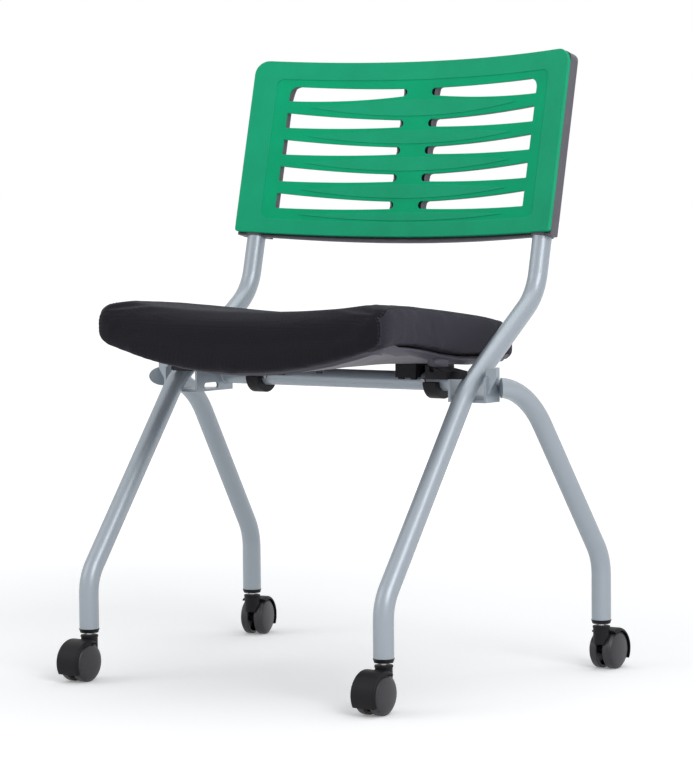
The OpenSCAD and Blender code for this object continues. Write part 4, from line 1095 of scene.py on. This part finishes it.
@dataclass
class Seat:
    """The padded seat: cushion, stitched seams, board, pan and the fittings under it."""

    finishes: Finishes
    voxel: float = 0.0052
    shrink: float = 0.0016
    swell_cap: float = 0.004
    pressure: float = 4.0
    base_normal: float = -0.3
    core_normal: float = -0.5
    painted_lit_side_normal: float = 0.6
    pin_share: float = 1.2
    frames: int = 20
    relax_rounds: int = 6
    seam_w: float = 0.0035
    seam_depth: float = 0.0018
    seam_reach: int = 4
    stitch_len: float = 0.0034
    stitch_gap: float = 0.0016
    stitch_r: float = 0.00042
    stitch_row: float = 0.0038
    stitch_out_share: float = 0.25
    stitch_end_share: float = 0.35
    stitch_sides: int = 6
    corner_steps: int = 8
    side_steps: int = 18
    corner_r: float = 0.024
    seam_turn: float = math.radians(8)
    seam_from: float = 0.2
    core_lift: float = 0.008
    rear_drop: float = 0.007
    base_rise: tuple = (-0.17, -0.13)
    base_fall: tuple = (0.10, 0.14)
    drop_rise: tuple = (0.12, 0.16)
    front_end: tuple = (0.15, 0.19)
    rear_end: tuple = (0.13, 0.16)
    board_share: float = 0.92
    side_in: float = 0.007
    front_in: float = 0.014
    rear_in: float = 0.022
    side_zone: tuple = (0.19, 0.22)
    front_zone: tuple = (0.17, 0.21)
    rear_zone: tuple = (0.12, 0.165)
    core_x: float = 0.195
    rim_x: float = 0.215
    fitting_z: float = 0.392
    fitting_edge: float = 0.0008
    seam_low: float = 0.425
    seam_high: float = 0.476
    seam_wall_z: float = 0.445
    seam_in: float = 0.011
    seam_rear_in: float = 0.018

    def cushion_shape(self) -> BMesh:
        """Copy of the cushion's solid, merged and drawn in a little, so that it can swell.

        Returns:
            The copy.
        """
        bm = merged_copy("cushion")
        for vert in bm.verts:
            if vert.normal.z < self.core_normal:
                vert.co.z += self.lift(vert.co) * window(vert.co.y, self.base_rise, self.base_fall)
                vert.co.z -= self.rear_drop * ease(vert.co.y, *self.drop_rise)
            vert.co -= vert.normal * self.shrink
        return bm

    def seam_path(self, tree: BVHTree, side: Side) -> list[Vector]:
        """Line of the side seam on the cover: up the front corner and back along the side panel's top.

        Args:
            tree: The cover's surface.
            side: Which side's seam.

        Returns:
            The seam's points.
        """
        low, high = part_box("cushion")
        away = Vector((side.value * math.cos(self.seam_turn), -math.sin(self.seam_turn), 0))
        centre = Vector((side.value * (high.x - self.corner_r), low.y + self.corner_r, 0))
        rise = (self.seam_high - self.seam_low) / self.corner_steps
        tops = [self.seam_low + rise * i for i in range(self.corner_steps + 1)]
        start = centre + away * self.seam_from
        path = [tree.ray_cast(start + Vector((0, 0, z)), -away)[0] for z in tops]
        run = (high.y - self.seam_rear_in - centre.y) / self.side_steps
        for i in range(1, self.side_steps + 1):
            y = centre.y + run * i
            wall = tree.ray_cast(Vector((side.value, y, self.seam_wall_z)), Vector((-side.value, 0, 0)))[0]
            if wall:
                over = Vector((wall.x - side.value * self.seam_in, y, 1))
                path.append(tree.ray_cast(over, Vector((0, 0, -1)))[0])
        return [point for point in path if point]

    def distance(self, point: Vector, path: list[Vector]) -> float:
        """Shortest distance from a point to a path of straight pieces.

        Args:
            point: The point.
            path: Corners of the path.

        Returns:
            The distance in metres.
        """
        best = 1.0
        for a, b in zip(path, path[1:]):
            near, share = intersect_point_line(point, a, b)
            near = a if share < 0 else b if share > 1 else near
            best = min(best, (point - near).length)
        return best

    def pad(self) -> Object:
        """Remeshes, inflates and smooths the cushion, then presses its seams in.

        Returns:
            The cushion's cover.
        """
        cover = new_object("cushion_cover", self.cushion_shape())
        remesh = cover.modifiers.new("remesh", "REMESH")
        remesh.mode = "VOXEL"
        remesh.voxel_size = self.voxel
        self.settle(cover)
        self.relax(cover, self.relax_rounds)
        self.inflate(cover, self.seams(cover))
        seams = self.seams(cover)
        self.press_seams(cover, seams)
        rounder = cover.modifiers.new("rounder", "SUBSURF")
        rounder.levels = 1
        rounder.render_levels = 1
        self.settle(cover)
        cover.data.materials.clear()
        cover.data.materials.append(self.finishes.knit)
        cover.data.materials.append(self.finishes.painted_lit_side_knit)
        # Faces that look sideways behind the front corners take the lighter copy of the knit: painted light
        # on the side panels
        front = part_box("cushion")[0].y + self.corner_r * (1 - math.sin(self.seam_turn))
        for face in cover.data.polygons:
            beside = abs(face.normal.x) > self.painted_lit_side_normal and face.center.y > front
            face.material_index = 1 if beside else 0
        cover.data.shade_smooth()
        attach(cover, "seat")
        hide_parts("cushion")
        log.info("cushion_cover: %d faces on seat", len(cover.data.polygons))
        return cover

    def seams(self, cover: Object) -> list[list[Vector]]:
        """Both side seams on the cover as it is now.

        Args:
            cover: The cover.

        Returns:
            The points of each seam.
        """
        bpy.context.view_layer.update()
        tree = BVHTree.FromObject(cover, bpy.context.evaluated_depsgraph_get())
        return [self.seam_path(tree, side) for side in Side]

    def settle(self, piece: Object) -> None:
        """Applies a piece's modifiers to its mesh.

        Args:
            piece: The piece.
        """
        graph = bpy.context.evaluated_depsgraph_get()
        mesh = bpy.data.meshes.new_from_object(piece.evaluated_get(graph))
        piece.modifiers.clear()
        old = piece.data
        piece.data = mesh
        bpy.data.meshes.remove(old)

    def relax(self, piece: Object, rounds: int) -> None:
        """Smooths a piece's mesh.

        Args:
            piece: The piece.
            rounds: How often its points move halfway to their neighbours.
        """
        bm = bmesh.new()
        bm.from_mesh(piece.data)
        for _ in range(rounds):
            bmesh.ops.smooth_vert(bm, verts=bm.verts, factor=0.5, use_axis_x=True, use_axis_y=True,
                                  use_axis_z=True)
        bm.to_mesh(piece.data)
        bm.free()

    def inflate(self, piece: Object, paths: list[list[Vector]]) -> None:
        """Runs the cloth simulation, pinned at the seams and the base, and caps how far points move.

        Args:
            piece: The cover.
            paths: The seams.
        """
        rest = [vert.co.copy() for vert in piece.data.vertices]
        pins = piece.vertex_groups.new(name="pins")
        for vert in piece.data.vertices:
            if (vert.normal.z < self.base_normal
                    or min(self.distance(vert.co, path) for path in paths) < self.voxel * self.pin_share):
                pins.add([vert.index], 1.0, "REPLACE")
        cloth = piece.modifiers.new("cloth", "CLOTH")
        cloth.settings.use_pressure = True
        cloth.settings.uniform_pressure_force = self.pressure
        cloth.settings.effector_weights.gravity = 0.0
        cloth.settings.vertex_group_mass = "pins"
        cloth.settings.quality = 4
        cloth.point_cache.frame_start = 1
        cloth.point_cache.frame_end = self.frames
        scene = bpy.context.scene
        for number in range(1, self.frames + 1):
            scene.frame_set(number)
        self.settle(piece)
        scene.frame_set(1)
        for vert, start in zip(piece.data.vertices, rest):
            moved = vert.co - start
            if moved.length > self.swell_cap:
                vert.co = start + moved.normalized() * self.swell_cap

    def press_seams(self, piece: Object, paths: list[list[Vector]]) -> None:
        """Presses the cover in along the seams.

        Args:
            piece: The cover.
            paths: The seams.
        """
        for vert in piece.data.vertices:
            away = min(self.distance(vert.co, path) for path in paths)
            if away < self.seam_w * self.seam_reach:
                vert.co -= vert.normal * self.seam_depth * math.exp(-(away / self.seam_w) ** 2)

    def stitches(self, cover: Object) -> None:
        """Sews two rows of short stitches beside each front seam, and one along each top seam.

        Args:
            cover: The cushion's cover.
        """
        tree = BVHTree.FromObject(cover, bpy.context.evaluated_depsgraph_get())
        bm = bmesh.new()
        for side in Side:
            path = self.seam_path(tree, side)
            self.sew(bm, tree, path, self.stitch_row)
            self.sew(bm, tree, path[:self.corner_steps + 1], -self.stitch_row)
        finished("seat_stitches", bm, self.finishes.thread, "seat")

    def sew(self, bm: BMesh, tree: BVHTree, path: list[Vector], offset: float) -> None:
        """Lays one row of stitches on the cover beside a path.

        Args:
            bm: The shape that takes the stitches.
            tree: The cover's surface.
            path: The seam.
            offset: Distance from the seam, to one side or the other.
        """
        step = self.stitch_len + self.stitch_gap
        run = 0.0
        for a, b in zip(path, path[1:]):
            along = (b - a).normalized()
            length = (b - a).length
            while run < length:
                spot, normal, _, _ = tree.find_nearest(a + along * run)
                across = along.cross(normal).normalized()
                spot, normal, _, _ = tree.find_nearest(spot + across * offset)
                along_surface = (along - normal * along.dot(normal)).normalized()
                self.stitch(bm, spot + normal * self.stitch_r * self.stitch_out_share, along_surface)
                run += step
            run -= length

    def stitch(self, bm: BMesh, at: Vector, along: Vector) -> None:
        """One stitch: a short rod with tapered ends.

        Args:
            bm: The shape that takes it.
            at: Its middle.
            along: The way it runs.
        """
        placed = facing(along, at)
        half = self.stitch_len / 2
        tip = self.stitch_r * self.stitch_end_share
        for end in (-1, 1):
            reach = placed @ Matrix.Translation((0, 0, end * half / 2))
            first, last = (self.stitch_r, tip) if end > 0 else (tip, self.stitch_r)
            bmesh.ops.create_cone(bm, segments=self.stitch_sides, cap_ends=False, depth=half, matrix=reach,
                                  radius1=first, radius2=last)

    def lift(self, point: Vector) -> float:
        """How far the pan's floor lies above its solid at a point: nothing along the side rims.

        Args:
            point: The point.

        Returns:
            The lift in metres.
        """
        side = 1 - ease(abs(point.x), self.core_x, self.rim_x)
        ends = ease(-point.y, *self.front_end) + ease(point.y, *self.rear_end)
        return self.core_lift * max(side, ends)

    def under(self, node: str, finish: Material, slot: str, above: float = 0.0,
              drawn_in: bool = False, share: float = 1.0) -> None:
        """Builds one piece under the seat from its solid, fitted to the lifted floor of the pan.

        Args:
            node: The node that it replaces.
            finish: Its finish.
            slot: The record's material slot; not used.
            above: Height above which its points move up.
            drawn_in: Whether its rim is drawn in behind the cushion's edge.
            share: Share of its width and depth that it keeps.
        """
        bm = merged_copy(node)
        bmesh.ops.scale(bm, verts=bm.verts, vec=(share, share, 1))
        for vert in bm.verts:
            x, y, z = vert.co
            if z > above:
                vert.co.z += self.lift(vert.co)
            if drawn_in:
                vert.co.x -= math.copysign(self.side_in, x) * ease(abs(x), *self.side_zone)
                vert.co.y += self.front_in * ease(-y, *self.front_zone)
                vert.co.y -= self.rear_in * ease(y, *self.rear_zone)
        piece = finished(node + "_fitted", bm, finish, "seat")
        if node.startswith(("hinge_block", "rest_pad")):
            break_edges(piece, self.fitting_edge)
        else:
            even_normals(piece)
        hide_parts(node)

    def build(self) -> None:
        """Builds the cushion and what is under it."""
        cover = self.pad()
        self.stitches(cover)
        self.under("seat_board", self.finishes.wood, "plywood", share=self.board_share)
        self.under("seat_pan", self.finishes.pan_grey, "grey_plastic", drawn_in=True)
        self.under("pan_screws", self.finishes.oxide, "bright_steel")
        self.under("rear_bumpers", self.finishes.rubber, "black_rubber")
        self.under("hinge_screws", self.finishes.oxide, "bright_steel", above=self.fitting_z)
        for side in Side:
            for kind in ("hinge_block_", "rest_pad_"):
                node = kind + side.name.lower()
                self.under(node, self.finishes.black, "black_plastic", above=self.fitting_z)


# Casters


@dataclass
class Caster:
    """One twin-wheel caster: hood, neck, stem, axle and two domed wheels."""

    finishes: Finishes
    foot: Foot
    wheel_r: float = 0.025
    trail: float = 0.018
    width: float = 0.038
    gap: float = 0.009
    hood_r: float = 0.0290
    hood_wall: float = 0.0026
    hood_shoulder: float = 0.0040
    hood_rear: float = 27.0
    hood_front: float = 119.0
    hood_inset: float = 0.001
    shoulder_steps: int = 6
    turn_steps: int = 40
    web: float = 0.007
    web_overlap: float = 0.0005
    boss_r: float = 0.006
    boss_steps: int = 32
    neck_r: float = 0.0115
    neck_top: float = 0.058
    neck_foot: float = 0.050
    neck_bore: float = 0.0046
    neck_lip: float = 0.0006
    neck_flange: float = 0.0026
    neck_step: float = 0.0007
    neck_seat_r: float = 0.0275
    neck_seat_least: float = 0.009
    bore_r: float = 0.0033
    hub_r: float = 0.007
    pocket: float = 0.008
    rim_wall: float = 0.0035
    tread_round: float = 0.0014
    tread_share: float = 0.4
    wheel_edge: float = 0.0004
    edge_steps: tuple = ((1.0, -1.5), (3.0, 0.0), (4.0, 1.0), (5.5, 0.75))
    dome: float = 0.0045
    dome_inset: float = 6.5
    dome_steps: int = 10
    wheel_steps: int = 72

    def placing(self) -> Matrix:
        """Placement of the caster's own frame at its foot, turned to its heading.

        Returns:
            The placement matrix.
        """
        sign, rear, turn = self.foot.value
        x = sign * (REAR_X if rear else FRONT_X)
        y = HALF_BASE if rear else -HALF_BASE
        return Matrix.Translation((x, y, 0)) @ Matrix.Rotation(math.radians(turn), 4, "Z")

    def hood(self) -> None:
        """Builds the hood: a drum cover over both wheels, the web between them and the neck."""
        half = self.width / 2 - self.hood_inset
        outer, inner, r = self.hood_r, self.hood_r - self.hood_wall, self.hood_shoulder
        cover = arc((half - r, outer - r), r, 0, 90, self.shoulder_steps)
        cover += [(-x, z) for x, z in reversed(cover)]
        cover += [(-half, inner), (half, inner)]
        web_half, web_top = self.web / 2, inner + self.web_overlap
        web = [(-web_half, self.boss_r), (web_half, self.boss_r), (web_half, web_top), (-web_half, web_top)]
        back = Matrix.Rotation(math.radians(-self.hood_rear), 3, "X")
        centre = Vector((0, -self.trail, self.wheel_r))
        bm = bmesh.new()
        for section in (cover, web):
            verts = [bm.verts.new(centre + Vector((x, 0, z))) for x, z in section]
            face = bm.faces.new(verts)
            bmesh.ops.rotate(bm, verts=verts, cent=centre, matrix=back)
            start = bmesh.ops.duplicate(bm, geom=[face, *face.edges, *face.verts])["geom"]
            bmesh.ops.spin(bm, geom=start, cent=centre, axis=(1, 0, 0), dvec=(0, 0, 0),
                           angle=math.radians(self.hood_front + self.hood_rear), steps=self.turn_steps,
                           use_duplicate=False)
        boss = Matrix.Translation(centre) @ Matrix.Rotation(math.pi / 2, 4, "Y")
        bmesh.ops.create_cone(bm, segments=self.boss_steps, cap_ends=True, radius1=self.boss_r,
                              radius2=self.boss_r, depth=self.web, matrix=boss)
        self.neck(bm)
        bmesh.ops.transform(bm, matrix=self.placing(), verts=bm.verts)
        node = "hood_" + self.foot.key
        body = "caster_" + self.foot.key
        piece = finished(node + "_moulded", bm, self.finishes.black, body)
        even_normals(piece)
        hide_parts(node)

    def neck(self, bm: BMesh) -> None:
        """Adds the neck's barrel, flanged at its top and saddled on the drum at its foot.

        Args:
            bm: The hood's shape.
        """
        low, top, r, lip = self.neck_foot, self.neck_top, self.neck_r, self.neck_lip
        waist, ledge = r - self.neck_step, top - self.neck_flange
        profile = [(self.neck_bore, low), (self.neck_bore, top), (r - lip, top), (r, top - lip), (r, ledge),
                   (waist, ledge - lip), (waist, low)]
        turn_profile(bm, [(x, 0, z) for x, z in profile], (0, 0, 1), self.turn_steps)
        foot = [vert for vert in bm.verts if abs(vert.co.z - low) < JOINED_WITHIN and vert.co.xy.length < r]
        for vert in foot:
            back = vert.co.y + self.trail
            rise = max(self.neck_seat_r ** 2 - back ** 2, self.neck_seat_least ** 2)
            vert.co.z = self.wheel_r + math.sqrt(rise)
        rings = [edge for edge in bm.edges if edge.is_boundary and set(edge.verts) <= set(foot)]
        bmesh.ops.bridge_loops(bm, edges=rings)

    def wheel(self, side: int, name: str) -> None:
        """Builds one wheel by spinning its section: hub, pocket, tread and domed face.

        Args:
            side: Which way its domed face looks along the axle.
            name: The node that it replaces.
        """
        r, rim, edge, pocket = self.wheel_r, self.tread_round, self.wheel_edge, self.pocket
        face = (self.width - self.gap) / 2 - self.dome
        bulge = self.dome - 2 * edge
        inside = r - self.rim_wall
        section = [(self.bore_r, 0.0), (self.hub_r, 0.0), (self.hub_r, pocket), (inside, pocket)]
        section += [(inside, edge), (r - rim, 0.0), (r - edge, rim * self.tread_share), (r, rim)]
        section += [(r, face - rim)]
        section += [(r - inward * edge, face + outward * edge) for inward, outward in self.edge_steps]
        dome_r = r - self.dome_inset * edge
        angles = [math.radians(90 * i / self.dome_steps) for i in range(1, self.dome_steps)]
        section += [(dome_r * math.cos(a), face + 2 * edge + bulge * math.sin(a)) for a in angles]
        section += [(0.0, face + self.dome)]
        bm = bmesh.new()
        points = [(side * (self.gap / 2 + along), 0, radial) for radial, along in section]
        turn_profile(bm, points, (1, 0, 0), self.wheel_steps)
        place = self.placing() @ Matrix.Translation((0, -self.trail, self.wheel_r))
        bmesh.ops.transform(bm, matrix=place, verts=bm.verts)
        piece = finished(name + "_turned", bm, self.finishes.wheel, name)
        even_normals(piece)
        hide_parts(name)

    def build(self) -> None:
        """Builds the caster and dresses its stem, axle and ferrule."""
        key = self.foot.key
        self.hood()
        sign, rear, _ = self.foot.value
        inward = -sign if not rear else sign
        self.wheel(inward, f"wheel_{key}_in")
        self.wheel(-inward, f"wheel_{key}_out")
        dress(self.finishes.steel, f"stem_{key}", f"axle_{key}")
        dress(self.finishes.black, f"ferrule_{key}")


# Studio


@dataclass
class Studio:
    """White floor and backdrop, soft lamps and the camera at the photograph's angle."""

    camera_at: tuple = (2.2215, -3.0687, 0.6150)
    yaw: float = math.radians(35.524)
    pitch: float = math.radians(3.605)
    roll: float = math.radians(-0.514)
    lens: float = 137.42
    floor_size: float = 60.0
    floor_near_lift: float = 0.19
    floor_far_lift: float = 0.68
    floor_near: float = 0.4
    floor_far: float = 3.0
    floor_white: float = 0.97
    world_strength: float = 0.45
    world_colour: tuple = (0.95, 0.97, 1.0)
    aim: tuple = (0.0, 0.0, 0.45)
    softboxes: tuple = (("key", (3.1, -1.7, 2.4), 2.0, 62.0), ("fill", (-2.2, -2.6, 2.2), 2.2, 20.0),
                        ("top", (0.2, 0.6, 3.2), 2.6, 26.0))

    def camera(self) -> None:
        """Makes the camera from its place, its turn and its lens."""
        flat = math.cos(self.pitch)
        ahead = Vector((-math.sin(self.yaw) * flat, math.cos(self.yaw) * flat, -math.sin(self.pitch)))
        level = Vector((math.cos(self.yaw), math.sin(self.yaw), 0))
        right = level * math.cos(self.roll) + level.cross(ahead) * math.sin(self.roll)
        up = right.cross(ahead)
        data = bpy.data.cameras.new("camera")
        data.lens = self.lens
        data.sensor_width = 36.0
        data.clip_end = 100.0
        camera = bpy.data.objects.new("camera", data)
        turn = Matrix((right, up, -ahead)).transposed().to_4x4()
        camera.matrix_world = Matrix.Translation(self.camera_at) @ turn
        bpy.context.scene.collection.objects.link(camera)
        bpy.context.scene.camera = camera

    def floor(self) -> None:
        """Lays the floor, lifted to white where the camera sees it, with the chair's shadow kept."""
        bm = bmesh.new()
        bmesh.ops.create_grid(bm, x_segments=1, y_segments=1, size=self.floor_size)
        floor = new_object("floor", bm)
        graph = Graph("floor_white")
        graph.plain(Roughness=0.9, Specular_IOR_Level=0.0)
        graph.shader.inputs["Base Color"].default_value = (*[self.floor_white] * 3, 1)
        graph.shader.inputs["Emission Color"].default_value = (1, 1, 1, 1)
        away = graph.add("ShaderNodeVectorMath", Vector=graph.place)
        away.operation = "LENGTH"
        level = graph.add("ShaderNodeMapRange", Value=away.outputs["Value"], From_Min=self.floor_near,
                          From_Max=self.floor_far, To_Min=self.floor_near_lift, To_Max=self.floor_far_lift)
        level.interpolation_type = "SMOOTHSTEP"
        lift = graph.maths("MULTIPLY", self.seen(graph.tree), level.outputs["Result"])
        graph.put(graph.shader.inputs["Emission Strength"], lift)
        floor.data.materials.append(graph.material)

    def seen(self, tree: NodeTree) -> NodeSocket:
        """Socket that is 1 where the camera, a reflection or glass sees the surface.

        Args:
            tree: The node tree that takes the nodes.

        Returns:
            The socket.
        """
        path = tree.nodes.new("ShaderNodeLightPath")
        seen = path.outputs["Is Camera Ray"]
        for name in ("Is Glossy Ray", "Is Transmission Ray"):
            either = tree.nodes.new("ShaderNodeMath")
            either.operation = "MAXIMUM"
            tree.links.new(seen, either.inputs[0])
            tree.links.new(path.outputs[name], either.inputs[1])
            seen = either.outputs[0]
        return seen

    def world(self) -> None:
        """Fills the world with even light, white where the camera or a reflection sees it."""
        world = bpy.data.worlds.new("studio")
        bpy.context.scene.world = world
        world.use_nodes = True
        tree = world.node_tree
        light = tree.nodes["Background"]
        light.inputs["Color"].default_value = (*self.world_colour, 1)
        light.inputs["Strength"].default_value = self.world_strength
        white = tree.nodes.new("ShaderNodeBackground")
        white.inputs["Strength"].default_value = 1.0
        white.inputs["Color"].default_value = (1, 1, 1, 1)
        mix = tree.nodes.new("ShaderNodeMixShader")
        tree.links.new(self.seen(tree), mix.inputs[0])
        tree.links.new(light.outputs[0], mix.inputs[1])
        tree.links.new(white.outputs[0], mix.inputs[2])
        tree.links.new(mix.outputs[0], tree.nodes["World Output"].inputs["Surface"])

    def lamp(self, name: str, at: tuple, size: float, power: float) -> None:
        """Hangs one square softbox.

        Args:
            name: Its name.
            at: Where it hangs.
            size: Length of its side, in metres.
            power: Its power, in watts.
        """
        data = bpy.data.lights.new(name, "AREA")
        data.shape = "SQUARE"
        data.size = size
        data.energy = power
        lamp = bpy.data.objects.new(name, data)
        lamp.matrix_world = facing(Vector(at) - Vector(self.aim), Vector(at))
        bpy.context.scene.collection.objects.link(lamp)

    def build(self) -> None:
        """Sets up the whole studio."""
        self.camera()
        self.floor()
        self.world()
        for softbox in self.softboxes:
            self.lamp(*softbox)
        bpy.context.scene.view_settings.view_transform = "Standard"


def main() -> None:
    """Builds the studio and the chair."""
    logging.basicConfig(level=logging.INFO, format="%(message)s")
    Studio().build()
    finishes = Finishes()
    TubeFrame(finishes).build()
    Backrest(finishes).build()
    Seat(finishes).build()
    for foot in Foot:
        Caster(finishes, foot).build()


if __name__ == "__main__":
    main()
